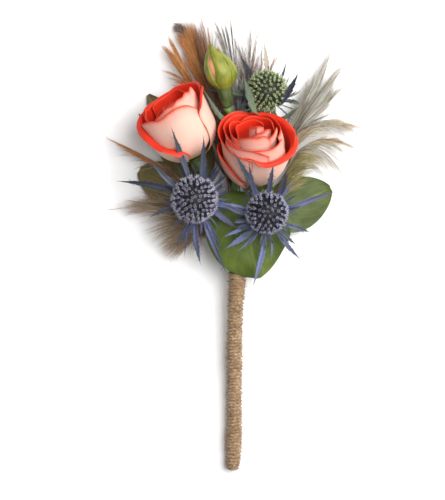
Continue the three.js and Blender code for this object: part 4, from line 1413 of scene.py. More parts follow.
def floret_template():
    """One floret along +Z: a cup with a dimple, five teeth that lean outwards, and a bristle."""
    mesh = bmesh.new()
    length, cup = FLORET["length"], FLORET["cup"]
    profile = [  # height and radius, up the outside of the cup and down to the middle of its dimple
        (0, FLORET["foot"]),
        (0.55 * length, cup),
        (0.84 * length, cup * 0.95),
        (0.6 * length, cup * 0.4),
        (0.58 * length, 0),
    ]
    shades = [0.0, 0.5, 0.85, 0.1, 0.0]  # the foot and the mouth of the cup are painted dark, as shade

    def surface(around, along):
        height, radius = profile[round(along * 4)]
        turn = around * 2 * math.pi
        return Vector((radius * math.cos(turn), radius * math.sin(turn), height))

    add_grid(mesh, 5, 4, surface, lambda around, along: (around, shades[round(along * 4)]))
    bristle = [Vector((0.5, 0.3, 0)), Vector((0.8, 0.5, length * 0.6)), Vector((0.9, 0.55, length * 1.3))]
    add_point(mesh, bristle, bristle_size, 3, 3, (0.3, 0.7))
    for tooth in range(FLORET["teeth"]):
        turn = (tooth + 0.5) * 2 * math.pi / FLORET["teeth"]
        out = Vector((math.cos(turn), math.sin(turn), 0))
        root = out * cup * 0.75 + Vector((0, 0, FLORET["mouth"]))
        tip = out * (cup * 1.2) + Vector((0, 0, FLORET["mouth"] + FLORET["tooth"]))
        middle = root.lerp(tip, 0.5) + out * 0.1
        add_point(mesh, (root, middle, tip), tooth_size, 3, 2, (0.78, 1.0))
    close(mesh)
    data = bpy.data.meshes.new("floret")
    mesh.to_mesh(data)
    mesh.free()
    return data


floret = floret_template()
print("faces of one floret:", len(floret.polygons))

# %% Heads
ROW_PITCH = 0.86  # from row to row, as a share of the space between florets
BARE_FOOT = 2.6  # spaces between the last row and the egg's lower pole


def head_outline(radius, height):
    """The egg that the florets stand on, from its lower pole to its top."""
    return smooth_path(
        (0, 0.95, 0),
        (radius * 0.62, 1.1, 0),
        (radius * 0.9, height * 0.24, 0),
        (radius, height * 0.45, 0),
        (radius * 0.92, height * 0.66, 0),
        (radius * 0.62, height * 0.88, 0),
        (0, height, 0),
    )


def make_head(side, material, shrink=0.0, shift=(0, 0, 0), fine=1.0):
    """shrink takes mm off the radius, shift moves the head off its ruff, and fine scales its florets."""
    thistle = THISTLES[side]
    place = flower_frame(Vector(thistle["base"]) + Vector(shift), thistle["axis"])
    radius = thistle["radius"] - shrink - FLORET["length"] * 0.85
    outline, length = evenly(head_outline(radius, thistle["height"] - FLORET["stands"]))
    spacing = FLORET["spacing"] * fine
    rng = random.Random(f"{side} head")
    mesh = bmesh.new()

    def core(around, along):
        point = outline(along)
        return place(point.x * (0 if along in (0, 1) else 1), around * 2 * math.pi, point.y)

    # the egg between the florets takes the first colour: painted shade in the gaps
    add_grid(mesh, 24, 16, core, lambda around, along: (around, 0.0))
    reach = length - spacing * BARE_FOOT
    rows = int(reach / (spacing * ROW_PITCH))
    for row in range(rows + 1):
        share = 1 - row * (reach / rows) / length
        point = outline(share)
        ahead = outline(clamp(share + 0.02)) - outline(clamp(share - 0.02))
        ahead.normalize()
        count = max(1, round(2 * math.pi * point.x / spacing))
        for k in range(count):
            turn = (k + 0.5 * (row % 2) + 0.12 * rng.uniform(-1, 1)) * 2 * math.pi / count
            spot = place(point.x, turn, point.y)
            outer = place(point.x + abs(ahead.y), turn, point.y - ahead.x * math.copysign(1, ahead.y))
            axis = (outer - spot).normalized()
            sway = Vector([rng.uniform(-0.2, 0.2) for _ in range(3)])
            turned = (axis + sway).to_track_quat("Z", "Y").to_matrix().to_4x4()
            size = fine * rng.uniform(0.85, 1.15) * mix(0.8, 1.0, smooth(0, 3, point.x))
            spin = Matrix.Rotation(rng.uniform(0, math.pi), 4, "Z")
            where = Matrix.Translation(spot) @ turned @ spin @ Matrix.Scale(size, 4)
            copy = floret.copy()
            copy.transform(where)
            mesh.from_mesh(copy)
            bpy.data.meshes.remove(copy)
    bmesh.ops.remove_doubles(mesh, verts=mesh.verts, dist=SEAM)
    finish_piece(mesh, f"{side}_sea_holly_head", "thistle_floret", [f"{side}_thistle_head"], material)


first = len(made_pieces)
make_head("left", floret_violet, fine=0.88)
make_head("right", floret_blue, shift=(-0.4, 1.8, 0), fine=0.86)
make_head("back", floret_green, shrink=0.4, fine=0.85)
report("heads", first)

# %% [markdown]
# ## Leaves
#
# Broad smooth leaves back the flowers. A flat card would catch the light all at once, and a
# real leaf isn't flat: it dips along the midrib and swells between its side veins. So a leaf
# is a fine sheet round a bent midrib. The same vein pattern is in the mesh, as gentle
# quilting, and in the material, as pale lines.


# %% Leaf material
VEINS = 9  # on each side
VEIN_SLANT = 0.75  # share of the length that a vein climbs across the full width


def leaf_material(name, dark, light, vein_colour):
    """Leathery evergreen leaf: waxy, mottled, with pale veins that rise to the margin."""
    material, tree, shader = new_material(
        name, Roughness=0.5, Specular_IOR_Level=0.25, Subsurface_Weight=0.1, Subsurface_Scale=0.6 * MM
    )
    shader.inputs["Subsurface Radius"].default_value = (0.5, 1.0, 0.2)
    uv = add(tree, "ShaderNodeUVMap", {}, uv_map="UVMap").outputs["UV"]
    place = add(tree, "ShaderNodeTexCoord", {}).outputs["Object"]
    parts = add(tree, "ShaderNodeSeparateXYZ", {0: uv})
    centred = add(tree, "ShaderNodeMath", {0: parts.outputs[0], 1: 0.5}, operation="SUBTRACT")
    side = add(tree, "ShaderNodeMath", {0: centred.outputs[0]}, operation="ABSOLUTE")
    slanted = {0: side.outputs[0], 1: -VEIN_SLANT, 2: parts.outputs[1]}
    run = add(tree, "ShaderNodeMath", slanted, operation="MULTIPLY_ADD")
    wave = add(tree, "ShaderNodeMath", {0: run.outputs[0], 1: VEINS}, operation="MULTIPLY")
    saw = add(tree, "ShaderNodeMath", {0: wave.outputs[0], 1: 0.5}, operation="PINGPONG")
    near_vein = {"Value": saw.outputs[0], "From Max": 0.09, "To Min": 1.0, "To Max": 0.0}
    line = add(tree, "ShaderNodeMapRange", near_vein)
    near_midrib = {"Value": side.outputs[0], "From Max": 0.03, "To Min": 1.0, "To Max": 0.0}
    rib = add(tree, "ShaderNodeMapRange", near_midrib)
    lines = {0: line.outputs[0], 1: 0.45, 2: rib.outputs[0]}
    veined = add(tree, "ShaderNodeMath", lines, operation="MULTIPLY_ADD")
    mottle = add(tree, "ShaderNodeTexNoise", {"Vector": place, "Scale": 1 / (7 * MM), "Detail": 5})
    pores = add(tree, "ShaderNodeTexVoronoi", {"Vector": place, "Scale": 1 / (0.9 * MM)})
    tone = ramp(tree, mottle.outputs["Fac"], (0.3, dark), (0.7, light))
    strength = add(tree, "ShaderNodeMath", {0: veined.outputs[0], 1: 0.3}, operation="MULTIPLY")
    both = {0: strength.outputs[0], 6: tone, 7: colour(vein_colour)}
    mixed = add(tree, "ShaderNodeMix", both, data_type="RGBA")
    tree.links.new(mixed.outputs[2], shader.inputs["Base Color"])
    grained = {0: pores.outputs["Distance"], 1: 0.25, 2: veined.outputs[0]}
    relief = add(tree, "ShaderNodeMath", grained, operation="MULTIPLY_ADD")
    bump = {"Height": relief.outputs[0], "Strength": 0.22, "Distance": 0.25 * MM}
    tree.links.new(add(tree, "ShaderNodeBump", bump).outputs[0], shader.inputs["Normal"])
    return material


leaf_bright = leaf_material("bright_evergreen_leaf", "#48591F", "#5F6E2E", "#8A9A4C")
leaf_cool = leaf_material("cool_evergreen_leaf", "#42501F", "#5C6830", "#8E9858")
leaf_dark = leaf_material("dark_evergreen_leaf", "#54502F", "#7C7044", "#9A8C60")

# %% Leaves
# A leaf has a seat, which is its turn in degrees round the tape's mouth, the line of its
# stalk and midrib, its half width, the share of the line that is stalk, how blunt its ends
# are, and how far its margins stand above the midrib. Without a seat the line is as listed.
MOUTH = {"along": -5, "radius": 3.2}
LEAF_THICKNESS = 0.3
STALK_HALF_WIDTH = 0.6
LEAVES = [
    {
        "name": "leaf_right",
        "seat": 72,
        "path": [(6.4, 3.4, 9.1), (11, 9, 6.7), (24, 15.5, 3.4), (38.7, 22.3, 0.5)],
        "half_width": 11,
        "stalk": 0.52,
        "blunt": 0.55,
        "cup": 0.6,
        "material": leaf_cool,
    },
    {
        "name": "leaf_front",
        "seat": None,
        "path": [(6.8, 21, 14.6), (4.6, 13, 17.6), (5.8, -2, 16.4), (9.2, -14.4, 14)],
        "half_width": 17.5,
        "stalk": 0.03,
        "blunt": 0.6,
        "cup": -2.2,
        "material": leaf_bright,
    },
    {
        "name": "leaf_left",
        "seat": 212,
        "path": [(-11, 12, 5.5), (-23, 21, 3), (-39.6, 29.6, 0.5)],
        "half_width": 10.5,
        "stalk": 0.32,
        "blunt": 0.5,
        "cup": 1,
        "material": leaf_dark,
    },
    {
        "name": "leaf_upper_left",
        "seat": 238,
        "path": [(-8.5, 14, 3.4), (-17.5, 33, 2.6), (-36, 60.6, 0.5)],
        "half_width": 10.4,
        "stalk": 0.5,
        "blunt": 0.8,
        "cup": 0.8,
        "material": leaf_dark,
    },
]


def from_mouth(seat, path):
    """A stalk or quill starts in the tape's mouth, at its own turn round the core."""
    if seat is None:
        return smooth_path(*path)
    turn = math.radians(seat)
    start = core_at(MOUTH["along"])
    start = start + Vector((MOUTH["radius"] * math.cos(turn), 0, MOUTH["radius"] * math.sin(turn)))
    return smooth_path(start, *path)


def make_leaf(leaf):
    """A sheet whose width follows a stretched sine from the stalk to the tip."""
    path = from_mouth(leaf["seat"], leaf["path"])

    def half_width(share):
        blade = (share - leaf["stalk"]) / (1 - leaf["stalk"])
        if blade <= 0:
            return STALK_HALF_WIDTH
        swell = math.sin(math.pi * min(0.995, blade) ** 0.9) ** leaf["blunt"]
        return max(STALK_HALF_WIDTH, leaf["half_width"] * swell)

    def surface(across, share):
        side_place = 2 * across - 1
        tangent = direction(path, share)
        side = tangent.cross(UP).normalized()
        face = side.cross(tangent)
        half = half_width(share)
        swell = math.cos(2 * math.pi * VEINS * (share - 0.5 * VEIN_SLANT * abs(side_place)))
        quilt = -0.06 * swell * min(1, abs(side_place) * 3) * min(1, half / 4)
        dip = -0.35 * math.exp(-((side_place / 0.12) ** 2)) * min(1, half / 4)
        sag = leaf["cup"] * side_place**2 * min(1, half)
        spot = path(share) + side * (side_place * half)
        ruffle = 0.35 * noise.noise(spot * 0.22) * min(1, half / 4)
        return spot + face * (sag + quilt + dip + ruffle)

    mesh = bmesh.new()
    add_grid(mesh, 24, 64, surface)
    bmesh.ops.recalc_face_normals(mesh, faces=mesh.faces)
    piece = finish_piece(mesh, leaf["name"] + "_veined", "leaf_green", [leaf["name"]], leaf["material"])
    thicken(piece, LEAF_THICKNESS)


first = len(made_pieces)
for leaf in LEAVES:
    make_leaf(leaf)
report("leaves", first)

# %% [markdown]
# ## Feathers
#
# A feather is a shaft with hundreds of barbs. A flat card with a picture would look right
# from one side only, so each barb is a thin tapered hair of a few faces. Barbs cling in locks:
# close and straight in a stiff vane, and long, loose and wavy in down. The locks that shape a
# feather's outline are listed one by one, and scattered ones fill the feather between them.
# Along each barb the UV map runs from root to tip, and across it holds one number for the
# whole barb, so that every barb has its own shade.


# %% Feather material
def feather_material(name, dark, middle, light, root):
    """Keratin barbs: matt and dry, each with its own shade, and darker near the shaft."""
    material, tree, shader = new_material(
        name, Roughness=0.7, Sheen_Weight=0.3, Subsurface_Weight=0.3, Subsurface_Scale=0.4 * MM
    )
    uv = add(tree, "ShaderNodeUVMap", {}, uv_map="UVMap").outputs["UV"]
    parts = add(tree, "ShaderNodeSeparateXYZ", {0: uv})
    shade = ramp(tree, parts.outputs[0], (0.05, dark), (0.5, middle), (0.95, light))
    near = ramp(tree, parts.outputs[1], (0.0, root), (0.45, "#FFFFFF"))
    tone = add(tree, "ShaderNodeMix", {0: 1.0, 6: shade, 7: near}, data_type="RGBA", blend_type="MULTIPLY")
    tree.links.new(tone.outputs[2], shader.inputs["Base Color"])
    return material


copper = feather_material("copper_feather_barbs", "#5A2E16", "#D07028", "#EEAA66", "#A88A74")
copper_bars = feather_material("barred_feather_tip", "#1E1B1A", "#4A4441", "#9A918C", "#FFFFFF")
brown = feather_material("brown_down", "#50341F", "#A87C54", "#E0C8A6", "#8A7464")
copper_brown = feather_material("copper_brown_barbs", "#402818", "#A06440", "#D6B08C", "#A08C7C")
grey_down = feather_material("grey_down", "#4E4A48", "#AAA39C", "#E9E5E1", "#7E766F")
slate_down = feather_material("slate_down", "#14151C", "#34343E", "#8A8698", "#80787A")
grey_green = feather_material("grey_green_barbs", "#50544A", "#9BA08C", "#D4D7C8", "#A09A90")
beige = feather_material("beige_plume_barbs", "#464034", "#9C907B", "#E8E1D4", "#8C8274")
golden = feather_material("golden_plume_barbs", "#664C2C", "#B49362", "#EADCC4", "#988262")
olive = feather_material("olive_gold_barbs", "#4E4820", "#968848", "#CFC48C", "#8A8450")

# %% Barbs and locks
FLOOR_CLEARANCE = 0.2
BARB_RADIUS = 0.062
BARB_STEPS = 6
LOCK_STEPS = 12
DARK_SHARE = 0.18  # of all barbs: a few dark ones between light ones make a feather look fine
SHAFT_RADIUS = 0.3
SHAFT_SHADE = 0.4


def add_strand(mesh, spots, radius, shade, skin):
    """A barb through a few spots: three-sided, closed, and tapered to its tip."""
    last = len(spots) - 1
    normal = (spots[1] - spots[0]).orthogonal()
    rings = []
    for k, spot in enumerate(spots):
        tangent = (spots[min(k + 1, last)] - spots[max(k - 1, 0)]).normalized()
        normal = (normal - tangent * normal.dot(tangent)).normalized()
        rings.append((spot, normal, tangent.cross(normal)))

    def place(around, along):
        k = round(along * last)
        spot, side, up = rings[k]
        turn = around * 2 * math.pi
        size = 0 if k in (0, last) else radius * (1 - 0.6 * along)
        return spot + side * (size * math.cos(turn)) + up * (size * math.sin(turn))

    verts = add_grid(mesh, 3, last, place, lambda around, along: (shade, along))
    if skin:
        for face in {face for vert in verts for face in vert.link_faces}:
            face.material_index = skin


def add_lock(mesh, course, half_width, count, shade, skin, rng, fray, wave, blunt, radius):
    """Barbs that cling together: they leave side by side and meet near one point."""
    stations = []
    for k in range(LOCK_STEPS + 1):
        tangent = direction(course, k / LOCK_STEPS, 0.01)
        side = tangent.cross(UP).normalized()
        stations.append((course(k / LOCK_STEPS), side, side.cross(tangent)))
    part = bmesh.new()
    for _ in range(count):
        across, depth = rng.uniform(-1, 1), rng.uniform(-0.6, 0.6)
        stray = rng.uniform(-1.5, 1.5) * rng.random() ** 2
        first, last = rng.uniform(0, 0.35), 1 - fray * rng.random() ** 1.3
        rate, phase = rng.uniform(4, 12), rng.uniform(0, 2 * math.pi)
        spots = []
        for k in range(BARB_STEPS + 1):
            share = mix(first, last, k / BARB_STEPS)
            n = min(int(share * LOCK_STEPS), LOCK_STEPS - 1)
            part_way = share * LOCK_STEPS - n
            centre, side, face = (a.lerp(b, part_way) for a, b in zip(stations[n], stations[n + 1]))
            width = half_width * mix(math.sin(math.pi * (0.1 + 0.88 * share)) ** 0.7, 1.0, blunt)
            sway = wave * math.sin(rate * share + phase) * share
            bob = wave * math.cos(rate * share + phase) * share
            aside = across * width + sway + stray * (0.3 + half_width) * share**3
            spot = centre + side * aside + face * (depth * width + 0.6 * bob)
            spot.z = max(spot.z, FLOOR_CLEARANCE)
            spots.append(spot)
        tone = rng.uniform(0.0, 0.2) if rng.random() < DARK_SHARE else shade + rng.uniform(-0.2, 0.6)
        add_strand(part, spots, radius * rng.uniform(0.7, 1.3), clamp(tone), skin)
    merge(mesh, part)


def scatter(name, count, start, reach, spread, half_width, barbs, shade, skin=0):
    """Locks at random along a shaft, to both its sides, that end sooner the wider they go."""
    rng = random.Random(name)
    locks = []
    for k in range(count):
        leave = mix(*start, (k + rng.random()) / count)
        wide = rng.uniform(*spread)
        end = min(leave + rng.uniform(*reach) * (1 - 0.25 * abs(wide) / max(map(abs, spread))), 1.05)
        locks.append((leave, end, wide, half_width, barbs, clamp(shade + rng.uniform(-0.2, 0.2)), skin))
    return locks


# %% All feathers and their locks
# A feather is listed as its seat in the mouth, the line of its shaft and its locks of barbs.
# A lock leaves the shaft at one share of the line. It ends at a point, or beside another
# share of the line, so many mm to its right. Then come half its width, how many barbs it has,
# its shade from 0 to 1, and the number of its material. "fray" is how unevenly the barbs end,
# "wave" how far they sway, "blunt" how wide a lock stays at its tip, and "radius" a barb's.
FEATHERS = {
    "feather_copper": {
        "seat": 260,
        "path": [(-4.5, 30, 3.6), (-10.5, 58, 3.8), (-23.5, 92.2, 1.2)],
        "locks": [
            (0.62, (-25.2, 88.0, 2.0), 1.8, 200, 0.6, 0),
            (0.62, (-22.0, 91.4, 2.0), 1.8, 210, 0.7, 0),
            (0.61, (-18.9, 91.8, 2.6), 1.6, 170, 0.5, 0),
            (0.60, (-16.2, 89.5, 3.2), 1.5, 130, 0.4, 2),
            (0.59, (-13.6, 86.0, 4.0), 1.4, 100, 0.3, 2),
            (0.58, (-22.5, 78.0, 3.0), 1.8, 120, 0.5, 0),
            (0.60, (-17.6, 93.0, 4.0), 0.2, 5, 0.1, 2),
            (0.60, (-15.2, 92.2, 4.0), 0.2, 5, 0.1, 2),
            (0.93, (-26.0, 88.6, 2.6), 1.6, 130, 0.4, 1),
        ],
        "fray": 0.14,
        "blunt": 0.6,
        "materials": [copper, copper_bars, copper_brown],
    },
    "feather_copper_split": {
        "seat": None,
        "path": [(-5.6, 31, 4.5), (-12, 50, 5.8), (-19.5, 66, 6.2), (-31, 80.5, 4.6)],
        "locks": [
            (0.55, (-28.4, 85.4, 4.0), 0.9, 110, 0.6, 0),
            (0.56, (-26.0, 82.0, 4.6), 0.5, 40, 0.5, 0),
            (0.54, (-31.0, 81.2, 4.4), 1.3, 150, 0.6, 0),
            (0.52, (-28.4, 76.0, 4.4), 1.0, 70, 0.6, 0),
            (0.50, (-31.6, 70.4, 4.4), 0.5, 30, 0.5, 0),
            (0.50, (-29.4, 72.2, 4.4), 0.3, 14, 0.8, 1),
            (0.48, (-29.8, 67.6, 4.0), 0.5, 26, 0.5, 0),
            (0.45, (-27.5, 64.0, 4.0), 0.6, 36, 0.4, 0),
            (0.50, (-23.0, 75.0, 4.0), 1.1, 70, 0.4, 0),
            (0.45, (-20.0, 62.0, 4.0), 1.6, 90, 0.2, 0),
        ],
        "fray": 0.3,
        "blunt": 0.2,
        "materials": [copper, grey_down],
    },
    "feather_brown": {
        "seat": 280,
        "path": [(-2.5, 30, 2.8), (-8, 58, 7), (-13.2, 89, 7)],
        "locks": [
            *scatter("feather_brown", 36, (0.42, 0.72), (0.25, 0.42), (-5.5, 4.5), 0.6, 24, 0.35),
            *scatter("feather_brown under", 40, (0.2, 0.55), (0.2, 0.3), (-7, 8), 1.2, 30, 0.0),
            (0.7, (-9.6, 88.5, 7.0), 0.8, 26, 0.7, 1),
            (0.7, (-7.4, 86.5, 7.0), 0.7, 22, 0.7, 1),
        ],
        "fray": 0.4,
        "materials": [copper_brown, grey_green],
    },
    "feather_grey_strands": {
        "seat": 300,
        "path": [(1, 30, 3), (-0.5, 62, 8), (-6.5, 92.5, 9)],
        "locks": [
            (0.55, (-10.3, 93.4, 8), 0.16, 16, 0.0, 0),
            (0.55, (-7.8, 92.6, 8), 0.14, 14, 0.0, 0),
            (0.55, (-4.8, 91.0, 8), 0.14, 14, 0.0, 0),
            (0.52, (-2.8, 93.2, 8), 0.16, 16, 0.0, 0),
            (0.5, (-0.6, 86.0, 8), 0.14, 12, 0.1, 0),
            (0.55, (-6.2, 94.0, 8), 0.12, 10, 0.1, 0),
            (0.6, (-9.4, 87.6, 8), 0.7, 26, 0.4, 0),
            (0.6, (-6.8, 86.4, 8), 0.5, 16, 0.5, 0),
            *scatter("feather_grey_strands", 16, (0.42, 0.62), (0.16, 0.26), (-5, 5), 0.5, 12, 0.5),
        ],
        "fray": 0.12,
        "wave": 0.3,
        "radius": 0.1,
        "materials": [grey_down],
    },
    "feather_grey_fluff": {
        "seat": 320,
        "path": [(3.2, 3, 4.6), (4, 30, 3), (5.4, 58, 5), (4.4, 86, 7.4)],
        "locks": [
            *scatter("feather_grey_fluff", 44, (0.5, 0.84), (0.12, 0.28), (-8.5, 8.5), 0.3, 9, 0.35),
            *scatter("feather_grey_fluff brown", 36, (0.5, 0.8), (0.12, 0.24), (-8.5, 8.5), 0.3, 8, 0.35, 2),
            *scatter("feather_grey_fluff fine", 24, (0.5, 0.8), (0.14, 0.3), (-8.5, 8.5), 0.2, 5, 0.05),
            *scatter("feather_grey_fluff dark", 60, (0.42, 0.68), (0.12, 0.2), (-8, 8), 1.1, 26, 0.15, 1),
        ],
        "fray": 0.4,
        "wave": 0.7,
        "radius": 0.08,
        "materials": [grey_down, slate_down, copper_brown],
    },
    "feather_wisps": {
        "seat": 340,
        "path": [(7.6, 30, 3), (10.5, 60, 7.2), (19, 80.5, 6.6)],
        "locks": [
            (0.6, (18.4, 79.0, 7), 0.35, 16, 0.2, 1),
            (0.5, (10.6, 81.6, 8), 0.4, 18, 0.6, 0),
            (0.55, (24.2, 75.0, 6), 0.15, 5, 0.3, 0),
            (0.5, (4.6, 76.0, 9), 0.4, 14, 0.5, 1),
            *scatter("feather_wisps", 26, (0.42, 0.66), (0.12, 0.26), (-9, 6), 0.5, 12, 0.6),
        ],
        "fray": 0.25,
        "wave": 0.4,
        "radius": 0.085,
        "materials": [grey_down, copper_brown],
    },
    "plume_right_1": {
        "seat": 0,
        "path": [(11, 24, 3), (20, 41, 5.6), (29, 55, 4.5), (35.6, 68.3, 2.8), (38.8, 79.2, 1.4)],
        "locks": [
            (0.42, (38.8, 79.4, 1.6), 1.1, 100, 0.6, 0),
            (0.45, (37.0, 71.4, 2.5), 0.7, 40, 0.5, 0),
            (0.35, (33.2, 73.0, 3), 0.3, 26, 0.4, 0),
            (0.35, (30.4, 72.4, 3), 0.3, 24, 0.4, 0),
            (0.3, (26.8, 64.0, 3.6), 0.9, 40, 0.5, 0),
            *scatter("plume_right_1", 34, (0.18, 0.6), (0.2, 0.34), (-6.5, 3.4), 0.6, 16, 0.6),
            *scatter("plume_right_1 dark", 10, (0.3, 0.6), (0.2, 0.3), (-3, 3), 0.3, 8, 0.0, 1),
        ],
        "fray": 0.3,
        "wave": 0.3,
        "materials": [beige, olive],
    },
    "plume_right_2": {
        "seat": 20,
        "path": [
            (7.6, 7, 6.1), (13.5, 24, 3.6), (22, 42, 6), (32, 52, 4.5), (39.5, 62.3, 3),
            (45.0, 74.0, 1.8),
        ],
        "locks": [
            (0.48, (45.0, 74.2, 2), 1.5, 130, 0.6, 0),
            (0.5, (42.8, 70.6, 2.2), 0.9, 50, 0.5, 0),
            (0.48, (37.6, 58.6, 3), 1.3, 70, 0.5, 0),
            (0.45, (39.6, 52.4, 3), 0.5, 34, 0.3, 0),
            (0.42, (51.6, 56.0, 3), 0.12, 5, 0.0, 0),
            (0.5, (41.5, 57.6, 3), 0.7, 40, 0.6, 0),
            *scatter("plume_right_2", 36, (0.3, 0.72), (0.18, 0.3), (-3.2, 4.2), 0.6, 16, 0.6),
            *scatter("plume_right_2 dark", 8, (0.4, 0.7), (0.16, 0.26), (-3, 2), 0.3, 8, 0.0, 1),
        ],
        "fray": 0.3,
        "wave": 0.3,
        "materials": [beige, olive],
    },
    "plume_right_3": {
        "seat": 40,
        "path": [
            (7.2, 6, 7.4), (15, 24, 6.6), (26, 44.6, 7.6), (38, 48.8, 7), (49, 47.2, 5.4),
            (53.3, 45.3, 4.6),
        ],
        "locks": [
            (0.5, (53.4, 45.1, 4.6), 0.5, 46, 0.3, 0),
            (0.5, (50.6, 43.8, 4.5), 1.0, 34, 0.8, 1),
            (0.5, (46.4, 42.2, 4.5), 1.2, 36, 0.8, 1),
            (0.45, (41.5, 43.6, 5), 1.2, 40, 0.7, 0),
            *scatter("plume_right_3", 26, (0.34, 0.66), (0.16, 0.26), (-1.6, 3.2), 0.7, 20, 0.6),
            *scatter("plume_right_3 down", 14, (0.45, 0.7), (0.14, 0.22), (1.5, 5.5), 0.8, 16, 0.8, 1),
        ],
        "fray": 0.35,
        "wave": 0.35,
        "materials": [golden, beige],
    },
    "plume_right_4": {
        "seat": None,
        "path": [
            (7.6, 5.2, 9.2), (17, 22.5, 7), (26, 37.5, 8.4), (36, 41.7, 8), (44, 40.4, 7),
            (49.2, 37.6, 6.2),
        ],
        "locks": [
            (0.5, (49.2, 37.4, 6), 0.5, 44, 0.3, 0),
            (0.55, (51.8, 35.8, 5.5), 0.3, 12, 0.6, 0),
            (0.5, (46.4, 34.4, 6), 1.1, 36, 0.8, 2),
            (0.48, (42.6, 33.8, 6), 1.1, 40, 0.8, 2),
            (0.48, (47.6, 30.8, 5.5), 0.6, 20, 0.8, 2),
            (0.36, (45.8, 23.6, 5), 1.1, 60, 0.7, 2),
            (0.36, (42.4, 26.0, 5.5), 1.4, 60, 0.7, 2),
            (0.34, (39.0, 27.4, 6), 1.3, 50, 0.6, 0),
            (0.38, (46.6, 28.0, 5.5), 0.4, 16, 0.8, 2),
            (0.3, (38.4, 23.6, 6), 0.9, 40, 0.6, 2),
            *scatter("plume_right_4", 20, (0.34, 0.62), (0.16, 0.26), (-1.6, 3.4), 0.7, 18, 0.6),
            *scatter("plume_right_4 low", 44, (0.1, 0.36), (0.16, 0.28), (1.0, 11.0), 0.7, 20, 0.35, 1),
            *scatter("plume_right_4 dark", 20, (0.1, 0.4), (0.16, 0.28), (0.0, 8.0), 0.3, 9, 0.0, 0),
        ],
        "fray": 0.35,
        "wave": 0.35,
        "materials": [golden, olive, beige],
    },
    "plume_left_1": {
        "seat": 190,
        "path": [(-13, 15, 7.8), (-24, 26, 7.4), (-35.2, 33.3, 7), (-48.8, 40.4, 5.6), (-53.2, 42.6, 5)],
        "locks": [
            (0.5, (-52.6, 42.3, 5), 0.45, 50, 0.6, 0),
            (0.5, (-50.2, 40.4, 5), 0.7, 60, 0.7, 0),
            (0.48, (-46.2, 37.9, 5.4), 0.8, 60, 0.6, 0),
            (0.42, (-41.6, 35.4, 6), 0.8, 50, 0.5, 0),
            (0.62, (-49.6, 38.0, 5), 0.15, 6, 0.3, 1),
            (0.58, (-49.4, 35.2, 5), 0.3, 10, 0.8, 2),
            (0.54, (-45.6, 32.7, 5), 0.25, 8, 0.6, 2),
            (0.5, (-43.2, 29.0, 5), 0.2, 8, 0.3, 1),
            (0.47, (-40.6, 28.2, 5), 0.2, 7, 0.2, 1),
            (0.8, (-53.6, 43.8, 5), 0.1, 3, 0.1, 1),
            *scatter("plume_left_1", 22, (0.12, 0.45), (0.16, 0.26), (-3.5, 3.0), 0.6, 18, 0.2, 1),
        ],
        "fray": 0.35,
        "materials": [copper, brown, grey_down],
    },
    "plume_left_2": {
        "seat": 170,
        "path": [(-12, 10, 9), (-28, 15.4, 7.4), (-53.6, 13.2, 3)],
        "locks": [
            (0.55, (-53.6, 14.2, 3.6), 0.25, 9, 0.3, 1),
            (0.55, (-52.6, 12.2, 3.6), 0.25, 9, 0.4, 0),
            (0.6, (-51.2, 15.4, 3.8), 0.25, 9, 0.3, 1),
            (0.5, (-47.0, 10.2, 4), 0.7, 30, 0.5, 0),
            (0.4, (-48.6, 13.2, 4), 1.2, 60, 0.5, 0),
            (0.3, (-44.6, 14.2, 5), 1.3, 60, 0.4, 0),
            (0.4, (-43.5, 21.2, 6), 0.2, 6, 0.4, 0),
            (0.36, (-41.5, 24.2, 6), 0.2, 6, 0.4, 1),
            (0.33, (-38.8, 25.6, 6), 0.25, 8, 0.4, 0),
            *scatter("plume_left_2", 90, (0.1, 0.62), (0.18, 0.36), (-3.6, 5.0), 0.7, 24, 0.5),
            *scatter("plume_left_2 dark", 40, (0.02, 0.4), (0.18, 0.3), (-2, 10), 1.0, 26, 0.05),
            *scatter("plume_left_2 gold", 30, (0.05, 0.45), (0.16, 0.26), (1, 12), 0.3, 9, 0.9),
            *scatter("plume_left_2 grey", 16, (0.3, 0.66), (0.2, 0.34), (-3, 3), 0.2, 6, 0.5, 1),
        ],
        "fray": 0.5,
        "wave": 0.8,
        "materials": [brown, grey_down],
    },
    "plume_left_3": {
        "seat": 150,
        "path": [(-9, 4.5, 11), (-17, 4, 9), (-27.5, -6.8, 4.4)],
        "locks": [
            (0.4, (-33.4, -2.6, 4), 1.0, 44, 0.6, 0),
            (0.4, (-31.2, -5.2, 4), 1.2, 56, 0.7, 0),
            (0.45, (-28.8, -6.4, 4), 1.1, 50, 0.6, 0),
            (0.45, (-26.4, -4.8, 4), 1.0, 40, 0.6, 0),
            (0.3, (-43.0, 10.6, 5), 1.4, 60, 0.5, 0),
            (0.3, (-41.6, 7.2, 5), 1.4, 60, 0.6, 0),
            (0.32, (-39.0, 3.4, 5), 1.6, 70, 0.5, 0),
            (0.34, (-36.6, -0.4, 4.6), 1.5, 60, 0.6, 0),
            (0.3, (-46.4, 12.6, 5), 0.8, 30, 0.6, 0),
            (0.4, (-23.0, -6.4, 4), 0.9, 34, 0.5, 0),
            (0.4, (-20.0, -7.0, 4), 0.8, 28, 0.6, 0),
            (0.4, (-18.0, -9.0, 4), 0.3, 12, 0.7, 0),
            (0.34, (-15.6, -4.6, 5), 0.6, 20, 0.5, 0),
            *scatter("plume_left_3", 120, (0.06, 0.52), (0.3, 0.6), (-2.0, 12.0), 0.9, 24, 0.5),
            *scatter("plume_left_3 wide", 40, (0.1, 0.5), (0.35, 0.6), (6.0, 15.0), 0.6, 18, 0.55),
            *scatter("plume_left_3 pale", 10, (0.2, 0.5), (0.3, 0.5), (-6.0, 0), 0.4, 9, 0.9, 1),
        ],
        "fray": 0.5,
        "wave": 0.9,
        "materials": [brown, grey_down],
    },
}


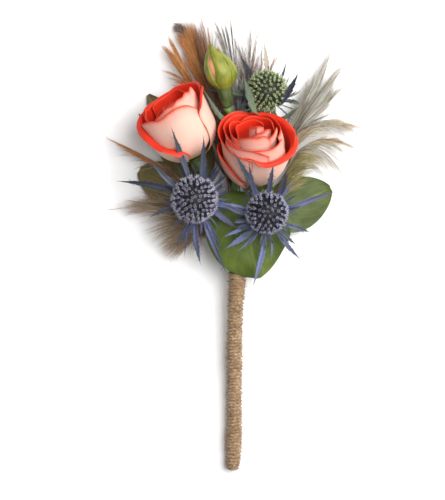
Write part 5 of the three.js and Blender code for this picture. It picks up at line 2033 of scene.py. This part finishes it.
# %% Make the feathers
def make_feather(name, feather):
    """The shaft, and every lock drawn in a curve from the shaft to its end."""
    path = from_mouth(feather["seat"], feather["path"])
    rng = random.Random(name + " barbs")
    tail = direction(path, 1, 0.01) * ((path(1) - path(0.9)).length * 10)

    def course(share):
        """The shaft's line, which runs straight on past its tip."""
        return path(min(share, 1.0)) + tail * max(0.0, share - 1)

    mesh = bmesh.new()

    def thickness(share, turn):
        return SHAFT_RADIUS * mix(1.0, 0.25, share) * (0 if share in (0, 1) else 1)

    add_tube(mesh, path, thickness, 6, 40, lambda around, along: (SHAFT_SHADE, along))
    habit = {
        "fray": feather["fray"],
        "wave": feather.get("wave", 0.08),
        "blunt": feather.get("blunt", 0),
        "radius": feather.get("radius", BARB_RADIUS),
    }
    for leave, *aim, half_width, count, shade, skin in feather["locks"]:
        start = course(leave)
        if len(aim) == 1:
            goal = Vector(aim[0])
            bend = start + direction(course, leave, 0.01) * (goal - start).length * 0.5
        else:
            end, wide = aim
            side = direction(course, min(end, 0.99), 0.01).cross(UP).normalized()
            goal = course(end) + side * wide
            bend = course(mix(leave, end, 0.6)) + side * (wide * 0.42)
        lift = rng.uniform(-0.4, 1.2)
        bend.z += lift
        goal.z += lift * 0.5
        add_lock(mesh, bezier(start, bend, goal), half_width, count, shade, skin, rng, **habit)
    close(mesh)
    slot = "copper_feather" if name.startswith("feather_copper") else "grey_brown_feather"
    finish_piece(mesh, name + "_barbs", slot, [name], *feather["materials"])


first = len(made_pieces)
for name, feather in FEATHERS.items():
    make_feather(name, feather)
report("feathers", first)

# %% [markdown]
# ## Sizes
#
# The looks may stand a little proud of the CAD solids, but the object keeps its size.

# %% Finish
bpy.context.view_layer.update()
